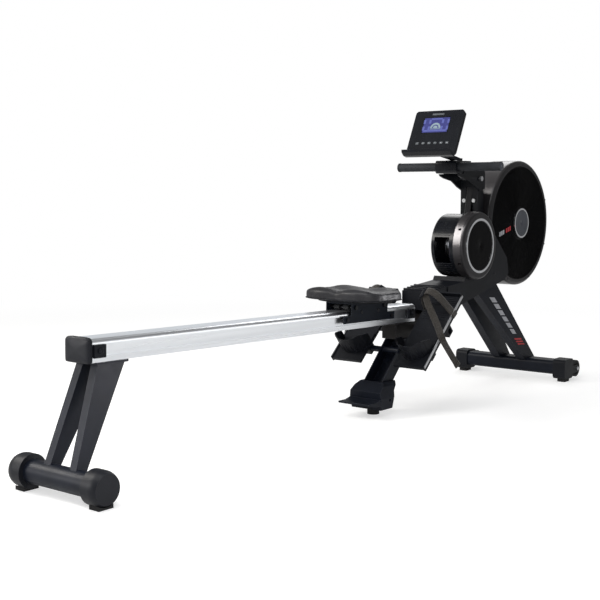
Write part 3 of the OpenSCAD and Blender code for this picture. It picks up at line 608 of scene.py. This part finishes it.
def rounded(t, half_x, half_y, roundness):
    """Point at angle t on a superellipse."""
    c, s = math.cos(t), math.sin(t)
    return half_x * math.copysign(abs(c) ** roundness, c), half_y * math.copysign(abs(s) ** roundness, s)


def seat_outline(t):
    x, y = rounded(t, SEAT_HALF_X, SEAT_HALF_Y, SEAT_ROUNDNESS)
    # waist at each side and a shallow notch at the rear
    y *= 1 - 0.035 * math.exp(-(x / 0.03) ** 2)
    x *= 1 - 0.075 * math.exp(-(y / 0.035) ** 2) * (1 if x < 0 else 0.25)
    return x, y


def seat_cushion():
    rings, around = 16, 96
    levels = [(k / rings, "top") for k in range(1, rings + 1)]
    levels += [(1.006, 0.93), (1.009, 0.66), (1.008, 0.40), (1.003, 0.15), (0.990, 0.03), (0.95, 0.0)]
    top = SEAT_THICK - 0.002
    verts = [Vector((0, 0, top + lobes(0, 0)))]
    for f, kind in levels:
        for k in range(around):
            t = FULL_TURN * k / around
            x, y = seat_outline(t)
            if kind == "top":
                g = 1 - (1 - f) ** 1.25
                nx, ny = x * g / SEAT_HALF_X, y * g / SEAT_HALF_Y
                z = top + lobes(nx, ny) - EDGE_DROP * max(0.0, (f - 0.86) / 0.14) ** 2
                verts.append(Vector((x * g, y * g, z)))
            else:
                edge_top = top + lobes(x / SEAT_HALF_X, y / SEAT_HALF_Y) - EDGE_DROP
                verts.append(Vector((x * f, y * f, edge_top * kind)))
    faces = [(0, 1 + k, 1 + (k + 1) % around) for k in range(around)]
    faces += quads(len(levels), around, 1, outward=False)
    last = 1 + (len(levels) - 1) * around
    verts.append(Vector((0, 0, 0)))
    faces += [(last + k, len(verts) - 1, last + (k + 1) % around) for k in range(around)]
    return add_mesh("seat_cushion", [SEAT_ORIGIN + SEAT_TURN @ v for v in verts], faces, "seat_skin", "seat")


CLOTH_FRAMES = 20


def inflate(cushion, floor_z, voxel=0.004, cap=0.0018, pinned=0.006):
    """Cloth simulation that fills the cushion's skin; its base stays flat."""
    r = cushion.modifiers.new("remesh", "REMESH")
    r.mode = "VOXEL"
    r.voxel_size = voxel
    freeze(cushion)
    start = [v.co.copy() for v in cushion.data.vertices]
    pins = cushion.vertex_groups.new(name="pins")
    pins.add([i for i, c in enumerate(start) if c.z < floor_z + pinned], 1.0, "REPLACE")
    cloth = cushion.modifiers.new("cloth", "CLOTH")
    st = cloth.settings
    st.use_pressure = True
    st.uniform_pressure_force = 4
    st.effector_weights.gravity = 0
    st.vertex_group_mass = "pins"
    st.tension_stiffness = st.compression_stiffness = 25
    st.bending_stiffness = 4
    cloth.point_cache.frame_start, cloth.point_cache.frame_end = 1, CLOTH_FRAMES
    for f in range(1, CLOTH_FRAMES + 1):
        scene.frame_set(f)
    freeze(cushion)
    for v, c in zip(cushion.data.vertices, start):
        d = v.co - c
        if d.length > cap:
            v.co = c + d * (cap / d.length)
        v.co.z = max(v.co.z, floor_z)
    scene.frame_set(1)
    relax = cushion.modifiers.new("smooth", "SMOOTH")
    relax.iterations, relax.factor = 1, 0.5
    s = cushion.modifiers.new("subdivide", "SUBSURF")
    s.levels = s.render_levels = 1
    freeze(cushion)
    for p in cushion.data.polygons:
        p.use_smooth = True


cushion = seat_cushion()
inflate(cushion, on_rail(SEAT_S + 0.1, 0, SEAT_BOTTOM).z)
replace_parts(cushion, "seat_pad")
bpy.data.collections["seat_side_lit"].objects.link(cushion)

# moulded welt round the cushion's lower edge
WELT_OUT, WELT_UP, WELT_WIRE, WELT_POINTS = 1.006, 0.0035, 0.0016, 120
welt = Parts()
welt_pts = []
for k in range(WELT_POINTS):
    x, y = seat_outline(FULL_TURN * k / WELT_POINTS)
    welt_pts.append(SEAT_ORIGIN + SEAT_TURN @ Vector((x * WELT_OUT, y * WELT_OUT, WELT_UP)))
welt.tube(welt_pts, WELT_WIRE, 8, closed=True)
welt.make("seat_welt", "black_plastic", "seat")


# ---------------------------------------------------------------- straps
# width and thickness of each strap
FOOT_WEB, LOOSE_WEB, HEM_WEB, PULL_WEB = (0.027, 0.0024), (0.023, 0.002), (0.0245, 0.0042), (0.024, 0.002)
# middle of the buckle on the footplate, and a point straight out from it
BUCKLE, BUCKLE_OUT = (0.2605, 0.0815, 0.059), (0.2605, 0.073, 0.068)


def strap_path(route, side):
    """Smooth path through a route of (s, y, n) points on the footplate, in millimetres."""
    return smooth_path(mirrored([on_plate(s / 1000, y / 1000, n / 1000) for s, y, n in route], side), 8)


def foot_strap(side):
    """Webbing loop over one footplate, with its loose end, hem and buckle; returns the loop."""
    across = radial(PLATE_SLOPE)
    name = LABEL[side]
    heel = "heel_" + name[0]
    route = [(254, 72, -10), (254, 72.5, 12), (257, 75, 40), (262, 84, 62), (266, 104, 72), (262, 130, 64),
             (252, 154, 44), (243, 172, 20), (238, 182, 6), (236, 189, 1), (235, 190.5, -9)]
    pts = strap_path(route, side)
    loop = ribbon("foot_strap_" + name, pts, [across] * len(pts), *FOOT_WEB, "foot_webbing", "frame")
    tail_route = [(262, 90, 67), (250, 97, 62), (226, 113, 44), (196, 138, 24), (162, 166, 10), (138, 184, 8),
                  (126, 193.5, 2), (119, 200, -18), (110, 211, -58), (103, 222, -104)]
    tail = strap_path(tail_route, side)
    # the strap lies on the plate at first and turns to hang over its edge
    normal_out = Vector((-0.35, side * 0.92, 0.15))
    dirs = []
    for i in range(len(tail)):
        w = min(1, max(0, (i / len(tail) - 0.55) / 0.25))
        t = (tail[min(i + 1, len(tail) - 1)] - tail[max(i - 1, 0)]).normalized()
        dirs.append(t.cross((PLATE_NORMAL * (1 - w) + normal_out * w).normalized()))
    loose = ribbon("foot_strap_end_" + name, tail, dirs, *LOOSE_WEB, "foot_webbing", None)
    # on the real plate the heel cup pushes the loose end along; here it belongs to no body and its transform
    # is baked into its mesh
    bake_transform(loose)
    # stitched hem at the loose end
    ribbon("foot_strap_hem_" + name, tail[-4:], dirs[-4:], *HEM_WEB, "foot_webbing", heel)
    # cam buckle on the inner side of the loop: a wide base and a narrow lever
    buckle = Parts()
    c = on_plate(*BUCKLE)
    out = (on_plate(*BUCKLE_OUT) - c).normalized()
    along = out.cross(across).normalized()
    for half, w, h in ((0.019, 0.017, 0.004), (0.0165, 0.010, 0.0065)):
        corners = [c + across * a + along * b for a, b in ((-half, -w), (half, -w), (half, w), (-half, w))]
        buckle.slab(mirrored(corners, side), Vector((out.x, out.y * side, out.z)) * h)
    bevel(buckle.make("foot_buckle_" + name, "black_plastic", "frame", smooth=False), 0.0012, 2)
    return loop


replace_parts(foot_strap(-1), "foot_straps")
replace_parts(foot_strap(1), "foot_straps")

# pull strap: spool, mast, guide roller, then straight back to the handle
SPOOL_TOUCH, GUIDE_TOUCH, STRAP_HALF = 0.041, 0.0153, 0.001
SPOOL_STEPS, SPOOL_STEP, GUIDE_STEPS, RUN_STEPS = 15, 0.20, 13, 12
run = GUIDE - DRUM
tangent_turn = math.atan2(run.z, run.x) - math.pi / 2 + math.asin((SPOOL_TOUCH - GUIDE_TOUCH) / run.length)
wound = []
for k in range(SPOOL_STEPS + 1):
    a = tangent_turn - (SPOOL_STEPS - k) * SPOOL_STEP
    wound.append(DRUM + radial(a) * (SPOOL_TOUCH + STRAP_HALF))
for k in range(GUIDE_STEPS + 1):
    a = tangent_turn + (math.pi / 2 - tangent_turn) * k / GUIDE_STEPS
    wound.append(GUIDE + radial(a) * (GUIDE_TOUCH + STRAP_HALF))
ribbon("pull_webbing_drive", wound, [Y_AXIS] * len(wound), *PULL_WEB, "pull_webbing", "frame")
top_z = wound[-1].z
end_x = HANDLE.x + 0.026
run_out = [Vector((GUIDE.x + (end_x - GUIDE.x) * k / RUN_STEPS, 0, top_z)) for k in range(RUN_STEPS + 1)]
strap = ribbon("pull_webbing", run_out, [Y_AXIS] * len(run_out), *PULL_WEB, "pull_webbing", None)
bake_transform(strap)
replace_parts(strap, "pull_strap")


# ---------------------------------------------------------------- fan mesh
WIRE_PITCH, RING_WIRE, SPOKES, SPOKE_WIRE, THICK_SPOKE_WIRE = 0.0034, 0.00105, 72, 0.0008, 0.0019


def fan_mesh(side):
    """One side's guard: rings on spokes, every sixth of them thicker, between two solid rims."""
    p = Parts()
    y = side * FAN_FACE_Y
    for k in range(int((GUARD_OUT - GUARD_IN) / WIRE_PITCH) + 1):
        p.ring(FAN, y, GUARD_IN + 0.0005 + k * WIRE_PITCH, RING_WIRE, 112, 5)
    spoke_base = FAN + Y_AXIS * (y - side * 0.0012)
    for k in range(SPOKES):
        d = radial(FULL_TURN * k / SPOKES)
        p.tube([spoke_base + d * r for r in (GUARD_IN - 0.004, 0.13, GUARD_OUT)],
               SPOKE_WIRE if k % 6 else THICK_SPOKE_WIRE, 5)
    inner, outer = (y - side * 0.0015), (y + side * 0.0012)
    p.lathe(FAN, [(0.018, inner), (0.064, inner), (0.064, outer), (0.018, outer)], 96)
    p.lathe(FAN, [(GUARD_OUT - 0.003, inner), (GUARD_OUT + 0.0012, inner),
                  (GUARD_OUT + 0.0012, outer), (GUARD_OUT - 0.003, outer)], 128)
    # rolled seam where the mesh is pressed into the shroud
    p.ring(FAN, y + side * 0.0015, GUARD_OUT - 0.001, 0.0016, 160, 8)
    return p.make("fan_mesh_" + LABEL[side], "guard_wire", "frame")


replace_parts(fan_mesh(-1), "fan_guards")
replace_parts(fan_mesh(1), "fan_guards")

# concave face and stepped rim on each fan hub cap
HUB_FACE_Y = 0.0661
HUB_FACE = [(0.0006, 0.0006), (0.016, 0.0007), (0.032, 0.0012), (0.043, 0.0022), (0.0475, 0.0026),
            (0.0492, 0.0016), (0.0492, 0), (0.0006, 0)]
for side, label in SIDES:
    hub = Parts()
    hub.lathe(FAN, [(r, side * (HUB_FACE_Y + rise)) for r, rise in HUB_FACE], 96)
    hub.make("fan_hub_face_" + label, "hub_cap", "frame")


# ---------------------------------------------------------------- rail end cap
def cap_outline(t):
    """One point (y, n) of the end cap's outline: upright sides and an arched top."""
    half_w, low, high, roundness = 0.0446, -0.0022, 0.0596, 0.16
    arch, arch_drop = 0.0030, 0.0062
    y, above = rounded(t, half_w, (high - low) / 2, roundness)
    n = (low + high) / 2 + above
    if above > 0:
        n += arch - arch_drop * abs(y / half_w) ** 2.6
    return y, n


# (s ahead of the cap's rear face, scale of the outline) from the skirt to the top of the dome
CAP_LEVELS = [(0.0078, 1.0), (0.0, 1.0), (-0.0012, 0.985), (-0.0026, 0.93), (-0.0044, 0.78), (-0.0058, 0.55),
              (-0.0066, 0.30), (-0.0069, 0.08)]
CAP_POINTS, CAP_MIDDLE_N = 96, 0.029
dome = Parts()
dome_verts = []
for ahead, scale in CAP_LEVELS:
    for k in range(CAP_POINTS):
        y, n = cap_outline(FULL_TURN * (k + 0.5) / CAP_POINTS)
        dome_verts.append(on_rail(CAP_S + ahead, y * scale, CAP_MIDDLE_N + (n - CAP_MIDDLE_N) * scale))
top_face = tuple(len(dome_verts) - CAP_POINTS + k for k in range(CAP_POINTS))
dome.add(dome_verts, quads(len(CAP_LEVELS), CAP_POINTS) + [top_face])
end_dome = dome.make("rail_cap_dome", "black_plastic", "frame")
bpy.data.collections["rear_end_lit"].objects.link(end_dome)

# black caps over the heads of the rail stops' screws
STOPS_S, STOP_SCREW_N = (0.082, 1.440), 0.0275
SCREW_CAP = [(0.0005, 0.0484), (0.0070, 0.0484), (0.0070, 0.0516), (0.0056, 0.0525), (0.0005, 0.0526)]
stop_caps = Parts()
for s in STOPS_S:
    for side in (1, -1):
        stop_caps.lathe(on_rail(s, 0, STOP_SCREW_N), [(radius, side * y) for radius, y in SCREW_CAP], 24)
stop_caps.make("rail_stop_screw_caps", "black_plastic", "frame")


# ---------------------------------------------------------------- drum face and details
face = Parts()
face.lathe(DRUM, [(0.001, -0.0928), (0.030, -0.0927), (0.060, -0.0924), (0.084, -0.0922), (0.0872, -0.0921),
                  (0.0872, -0.0917), (0.001, -0.0917)], 128)
for k in range(7):
    face.ring(DRUM, -0.0926 + k * 0.00006, 0.018 + k * 0.0105, 0.00045, 128, 6)
face.make("drum_face", "guard_wire", "frame", "gloss_plastic")
lip = Parts()
for y, r in ((-0.0508, 0.1212), (-0.0815, 0.1209)):
    lip.ring(DRUM, y, r - 0.0006, 0.0010, 160, 8)
lip.make("drum_cap_beads", "gloss_plastic", "frame")

# ribs across the drum's shell, above and below its window
RIB_R, RIB_WIRE, RIB_STEP, RIB_ENDS_Y = 0.1117, 0.0011, 5.2, (-0.036, 0.034)
ribs = Parts()
for start, count in ((118, 9), (213, 7)):
    for k in range(count):
        d = radial(math.radians(start + k * RIB_STEP))
        ribs.tube([DRUM + d * RIB_R + Y_AXIS * y for y in RIB_ENDS_Y], RIB_WIRE, 6)
ribs.make("drum_shell_ribs", "gloss_plastic", "frame")

# seam and screws of the fan shroud
seams = Parts()
for side in (1, -1):
    seams.ring(FAN, side * 0.0598, 0.2215, 0.0010, 160, 6)
seams.make("shroud_beads", "gloss_plastic", "frame")
SHROUD_SCREW_R, SHROUD_SCREW_Y, COVER_SCREW_Y = 0.2265, 0.0597, 0.0649
screws = Parts()
for side in (1, -1):
    for k in range(8):
        d = radial(math.radians(22.5 + 45 * k)) * SHROUD_SCREW_R
        screws.screw(FAN + d + Y_AXIS * (side * SHROUD_SCREW_Y), Y_AXIS * side, 0.0032, 0.0014)
for x, z in ((1.72, 0.366), (1.97, 0.425), (1.90, 0.52), (1.70, 0.340)):
    for side in (1, -1):
        screws.screw(Vector((REAR_X + x, side * COVER_SCREW_Y, z)), Y_AXIS * side, 0.0042, 0.002)
screws.make("cover_screws", "dark_steel", "frame", "steel")

carriage_screws = Parts()
for s in (-0.045, 0.045):
    for side in (1, -1):
        carriage_screws.screw(on_rail(CARRIAGE_S + s, side * 0.0498, 0.052), Y_AXIS * side, 0.0052, 0.0026)
carriage_screws.make("carriage_screws", "dark_steel", "seat", "steel")


# ---------------------------------------------------------------- footplates
# the heel cup slides over the plate up to HEEL_REACH, where what stands on the plate is only printed
PRINTED, RAISED, HEEL_REACH = 0.0003, 0.0016, 0.195


def plate_bar(parts, side, s, length, y0, y1, height):
    """Bar on the footplate from s to s + length and from y0 to y1."""
    corners = [on_plate(at, y, 0) for at, y in ((s, y0), (s + length, y0), (s + length, y1), (s, y1))]
    parts.slab(mirrored(corners, side), PLATE_NORMAL * height)


def tread(side):
    p = Parts()
    for k in (0, 1, 2, 3, 7, 8, 9, 10):
        s = 0.132 + k * 0.0105
        height = PRINTED if s < HEEL_REACH else RAISED
        plate_bar(p, side, s, 0.0042, PLATE_IN + 0.012, PLATE_OUT - 0.014, height)
    # marks of the heel cup's positions
    for k in range(5):
        plate_bar(p, side, 0.166 + k * 0.008, 0.003, 0.118, 0.132, PRINTED)
    bevel(p.make("footplate_tread_" + LABEL[side], "black_plastic", "frame", smooth=False), 0.0005, 2)


tread(1)
tread(-1)
# bright steel strips along the plate's outer edge, put there as a painted highlight of that edge, each (y, y,
# n, n)
EDGE_HIGHLIGHT_STRIPS = ((0.1835, 0.1856, 0.0035, 0.0052), (0.1851, 0.1862, -0.0030, 0.0045))
EDGE_START, EDGE_END = 0.001, 0.315
for side, label in SIDES:
    edge = Parts()
    for y0, y1, n0, n1 in EDGE_HIGHLIGHT_STRIPS:
        corners = [on_plate(EDGE_START, y, n) for y, n in ((y0, n0), (y1, n0), (y1, n1), (y0, n1))]
        edge.slab(mirrored(corners, side), on_plate(EDGE_END, 0, 0) - on_plate(EDGE_START, 0, 0))
    edge.make("footplate_edge_highlight_" + label, "steel", "frame", "rail_metal", False)


def heel_ribs(side):
    """Ribs and rolled rim round the outside of one heel cup."""
    p = Parts()

    def around(angle, radius, n):
        a = math.radians(angle)
        return on_plate(0.084 + radius * math.cos(a), 0.122 + radius * math.sin(a), n)

    for k in range(9):
        p.tube(mirrored([around(112 + k * 17, 0.0559, n) for n in (0.006, 0.03, 0.053)], side), 0.0010, 6)
    p.tube(mirrored([around(a, 0.054, 0.0618) for a in range(126, 235, 6)], side), 0.0021, 8)
    p.make("heel_ribs_" + LABEL[side], "black_plastic", "heel_" + LABEL[side][0])


heel_ribs(1)
heel_ribs(-1)


# ---------------------------------------------------------------- console
def on_face(x, pts):
    return [on_console(x, y, z) for y, z in pts]


def console_slab(name, pts, mat, lift=0.0, thick=0.0004):
    p = Parts()
    p.slab(on_face(0.0008 - lift, pts), CONSOLE_IN * -thick)
    p.make(name, mat, "console", "display", False)


def rect(y, z, w, h):
    return [(y - w / 2, z - h / 2), (y + w / 2, z - h / 2), (y + w / 2, z + h / 2), (y - w / 2, z + h / 2)]


console_slab("display_screen", rect(LCD_Y, LCD_Z, LCD_W - 0.004, LCD_H - 0.004), "screen_blue")
TILE_X = 0.0003
tiles = Parts()
# a tile's thickness, out of the screen
out = CONSOLE_IN * -0.0002
for col in range(4):
    for row in range(2):
        y = LCD_Y + 0.0365 * (1 if col > 1 else -1) + 0.011 * (1 if col % 2 else -1)
        z = LCD_Z + (0.014 if row else -0.012)
        tiles.slab(on_face(TILE_X, rect(y, z, 0.0085, 0.015)), out)
for shift, width, height in ((-0.0215, 0.090, 0.006), (0.0235, 0.044, 0.005)):
    tiles.slab(on_face(TILE_X, rect(LCD_Y, LCD_Z + shift, width, height)), out)
tiles.make("display_tiles", "screen_violet", "console", "display", False)

GAUGE_X, GAUGE_STEPS = 0.0001, 28
gauge = Parts()
for ring_in, ring_out in ((0.0135, 0.0205), (0.0, 0.0095)):
    for k in range(GAUGE_STEPS):
        a0, a1 = math.pi * k / GAUGE_STEPS, math.pi * (k + 1) / GAUGE_STEPS
        quad = [(ring_in, a0), (ring_out, a0), (ring_out, a1), (ring_in, a1)]
        if not ring_in:
            quad = quad[1:]
        pts = [(LCD_Y - r * math.cos(a), LCD_Z - 0.012 + r * math.sin(a)) for r, a in quad]
        gauge.slab(on_face(GAUGE_X, pts), out)
gauge.slab(on_face(GAUGE_X, rect(LCD_Y, LCD_Z - 0.0150, 0.040, 0.0022)), out)
gauge.make("display_gauge", "screen_white", "console", "display", False)

# plain inlay above the display, bezel round it and a soft strip in the ledge
console_slab("console_inlay", rect(LCD_Y, 0.1535, 0.046, 0.0062), "key_white", lift=0.0008, thick=0.0005)
bezel = Parts()
corners = on_face(-0.0002, rect(LCD_Y, LCD_Z, LCD_W + 0.0012, LCD_H + 0.0012))
for k in range(4):
    bezel.tube([corners[k], corners[(k + 1) % 4]], 0.0009, 8)
bezel.make("display_bezel", "black_plastic", "console")
strip = Parts()
STRIP, STRIP_HALF = ((-0.0215, 0.0008), (-0.004, 0.0026), (-0.004, 0.0034), (-0.0215, 0.0018)), 0.090
strip.slab([on_console(a, -STRIP_HALF, b) for a, b in STRIP], Y_AXIS * (2 * STRIP_HALF))
strip.make("ledge_strip", "rubber", "console", smooth=False)
BACK_X = 0.0180
VENT = ((-0.055, 0), (0.055, 0), (0.055, 0.003), (-0.055, 0.003))
vents = Parts()
for k in range(10):
    z = 0.055 + k * 0.008
    vents.slab(on_face(BACK_X, [(y, z + dz) for y, dz in VENT]), CONSOLE_IN * 0.0009)
for y in (-0.082, 0.082):
    for z in (0.018, 0.150):
        vents.screw(on_console(BACK_X - 0.0001, y, z), CONSOLE_IN, 0.0034, 0.0016)
vents.make("console_back_ribs", "black_plastic", "console", smooth=False)
# printed marks on the keys
KEY_PITCH, KEY_Z, KEY_FACE_X = 0.024, 0.042, -0.0014
# by turns a triangle, a bar and a square
KEY_MARKS = ([(-0.0016, -0.0018), (0.0020, 0.0), (-0.0016, 0.0018)], rect(0, 0, 0.0036, 0.0010),
             rect(0, 0, 0.0030, 0.0030))
for i in range(1, 7):
    y = (3.5 - i) * KEY_PITCH
    mark = Parts()
    mark.slab(on_face(KEY_FACE_X, [(y + a, KEY_Z + b) for a, b in KEY_MARKS[i % 3]]), out)
    mark.make("key_mark_%d" % i, "pale_ink", "button_%d" % i, "key_white", False)


# ---------------------------------------------------------------- handle
GRIP_RIBS, GRIP_START, RIB_PITCH = 26, 0.050, 0.0057
GRIP_RIB = ((0.0149, -0.0012), (0.0155, 0), (0.0149, 0.0012))
GRIP_END_Y = 0.2079
GRIP_END = ((0.0006, 0.0022), (0.008, 0.0020), (0.013, 0.0010), (0.0154, -0.0006), (0.0154, -0.002),
            (0.0006, -0.002))
for side, label in SIDES:
    g = Parts()
    for k in range(GRIP_RIBS):
        y = side * (GRIP_START + k * RIB_PITCH)
        g.lathe(HANDLE, [(r, y + dy) for r, dy in GRIP_RIB], 48, closed=False)
    g.make("grip_ribs_" + label, "grip_foam", "handle")
    cap = Parts()
    cap.lathe(HANDLE, [(r, side * (GRIP_END_Y + rise)) for r, rise in GRIP_END], 48)
    cap.make("grip_end_" + label, "hub_cap", "handle", "grip_foam")
hub_trim = Parts()
for y in (-0.0425, 0.0425):
    hub_trim.ring(HANDLE, y, 0.0165, 0.0014, 48, 8)
hub_trim.make("handle_collars", "black_plastic", "handle")


# ---------------------------------------------------------------- plain coloured marks
# middle of the front leg's face at its top and at its foot: x, z and half its width
LEG_TOP, LEG_FOOT = (1.939, 0.374, 0.071), (2.252, 0.076, 0.042)
# the leg's face is at LEG_Y where it leaves the body at LEG_Y_TOP, and splays from there
LEG_Y, LEG_Y_TOP, LEG_SPLAY, LEG_SPLAY_FALL = 0.044, 0.400, 0.028, 0.340


def on_leg(t, across, side, lift=0.0005):
    """Point on a front leg's outer face, t of the way down and across from -1 to 1."""
    x, z, half = [a + (b - a) * t for a, b in zip(LEG_TOP, LEG_FOOT)]
    y = LEG_Y + (LEG_Y_TOP - z) * LEG_SPLAY / LEG_SPLAY_FALL
    return Vector((REAR_X + x + half * across, side * (y + lift), z))


# stripes: how many, where on the leg they start, pitch, length, slant, and their edges across the leg
PALE_STRIPES = (6, 0.13, 0.088, 0.068, 0.010, -0.30, 0.22)
RED_STRIPES = (3, 0.70, 0.036, 0.022, 0.014, -0.5, 0.5)


def leg_stripes(side, count, first, pitch, length, slant, edge0, edge1):
    parts = Parts()
    for k in range(count):
        t0 = first + k * pitch
        corners = ((t0, edge0), (t0 + length, edge0), (t0 + length + slant, edge1), (t0 + slant, edge1))
        parts.slab([on_leg(t, across, side) for t, across in corners], Y_AXIS * (side * 0.0003))
    return parts


for side, label in reversed(SIDES):
    pale, red = leg_stripes(side, *PALE_STRIPES), leg_stripes(side, *RED_STRIPES)
    pale.make("leg_stripe_pale_" + label, "pale_ink", "frame", "frame_paint", False)
    red.make("leg_stripe_red_" + label, "red_ink", "frame", "frame_paint", False)

# slanted bars on the fan's mesh, along a radius at MARK_TURN
MARK_TURN, MARK_HALF, MARK_SLANT = math.radians(-166), 0.008, 0.004
for side, label in reversed(SIDES):
    for name, r0, r1, mat in (("pale", 0.160, 0.118, "pale_ink"), ("red", 0.108, 0.066, "red_ink")):
        mark = Parts()
        d, w = radial(MARK_TURN), Vector((-math.sin(MARK_TURN), 0, math.cos(MARK_TURN)))
        base = FAN + Y_AXIS * (side * (FAN_FACE_Y + 0.0011))
        for k in range(3):
            c0 = r0 + (r1 - r0) * k / 3
            c1 = r0 + (r1 - r0) * (k + 0.72) / 3
            corners = ((c0, -1), (c1, -1), (c1 + MARK_SLANT, 1), (c0 + MARK_SLANT, 1))
            mark.slab([base + d * c + w * MARK_HALF * across for c, across in corners],
                      Y_AXIS * (side * 0.0004))
        mark.make("fan_mark_%s_%s" % (name, label), mat, "frame", "guard_wire", False)


# ---------------------------------------------------------------- softened edges on the CAD pieces
# width of the softened edges, in millimetres
SOFT_EDGES = {
    "rear_frame": 1.5, "rear_foot_caps": 1.5, "rail_rear_cap": 2, "main_beam": 3, "centre_strut": 4,
    "centre_foot": 4, "front_legs": 6, "stabiliser_caps": 2, "mast": 1, "body_cover_left": 2,
    "body_cover_right": 2, "neck_cover": 1.5, "drum_shell": 1, "footplates": 1.5, "heel_cup_left": 1.2,
    "heel_cup_right": 1.2, "console_front": 1, "console_back": 1.5, "console_arm": 1.5,
    "handle_hub": 2, "carriage": 1, "seat_base": 1, "rail_stops": 1,
}
for node_name, width in SOFT_EDGES.items():
    bevel(NODES[node_name], width / 1000, 3, 40)

# ---------------------------------------------------------------- floor
FLOOR_HALF, FLOOR_GREY, FLOOR_SPECULAR, FLOOR_GLOW = 30, 0.62, 0.2, 0.56
FADE_START, FADE_END = 1.6, 4.2
floor_mesh = bpy.data.meshes.new("floor")
floor_mesh.from_pydata([(x * FLOOR_HALF, y * FLOOR_HALF, 0) for x, y in ((-1, -1), (1, -1), (1, 1), (-1, 1))],
                       [], [(0, 1, 2, 3)])
floor = bpy.data.objects.new("floor", floor_mesh)
scene.collection.objects.link(floor)
floor_mat = Mat("floor", (FLOOR_GREY,) * 3, 0.8, 0, 0, FLOOR_SPECULAR).mottle(0.01, 2).gloss(0.05, 5)
floor_mat.p.inputs["Emission Color"].default_value = (1, 1, 1, 1)
# away from the machine the floor turns into the white of the backdrop
away = floor_mat.node("ShaderNodeVectorMath", operation="LENGTH")
floor_mat.link(floor_mat.coords(), away.inputs[0])
for socket, near, far in (("Emission Strength", FLOOR_GLOW, 1), ("Specular IOR Level", FLOOR_SPECULAR, 0)):
    fade = floor_mat.node("ShaderNodeMapRange", interpolation_type="SMOOTHSTEP")
    for name, value in (("From Min", FADE_START), ("From Max", FADE_END), ("To Min", near), ("To Max", far)):
        fade.inputs[name].default_value = value
    floor_mat.link(away.outputs["Value"], fade.inputs["Value"])
    factor = fade.outputs["Result"]
    if socket == "Emission Strength":
        # the floor is white where it is seen and dimmer as a light
        seen = floor_mat.node("ShaderNodeLightPath").outputs["Is Camera Ray"]
        factor = floor_mat.calc("MULTIPLY", factor, floor_mat.between(seen, FLOOR_AS_LIGHT, 1.0))
    floor_mat.link(factor, floor_mat.p.inputs[socket])
shade = floor_mat.ramp(fade.outputs["Result"], [(0.0, (0, 0, 0)), (0.2, (FLOOR_GREY,) * 3)])
floor_mat.link(shade, floor_mat.p.inputs["Base Color"])
floor_mesh.materials.append(floor_mat.m)
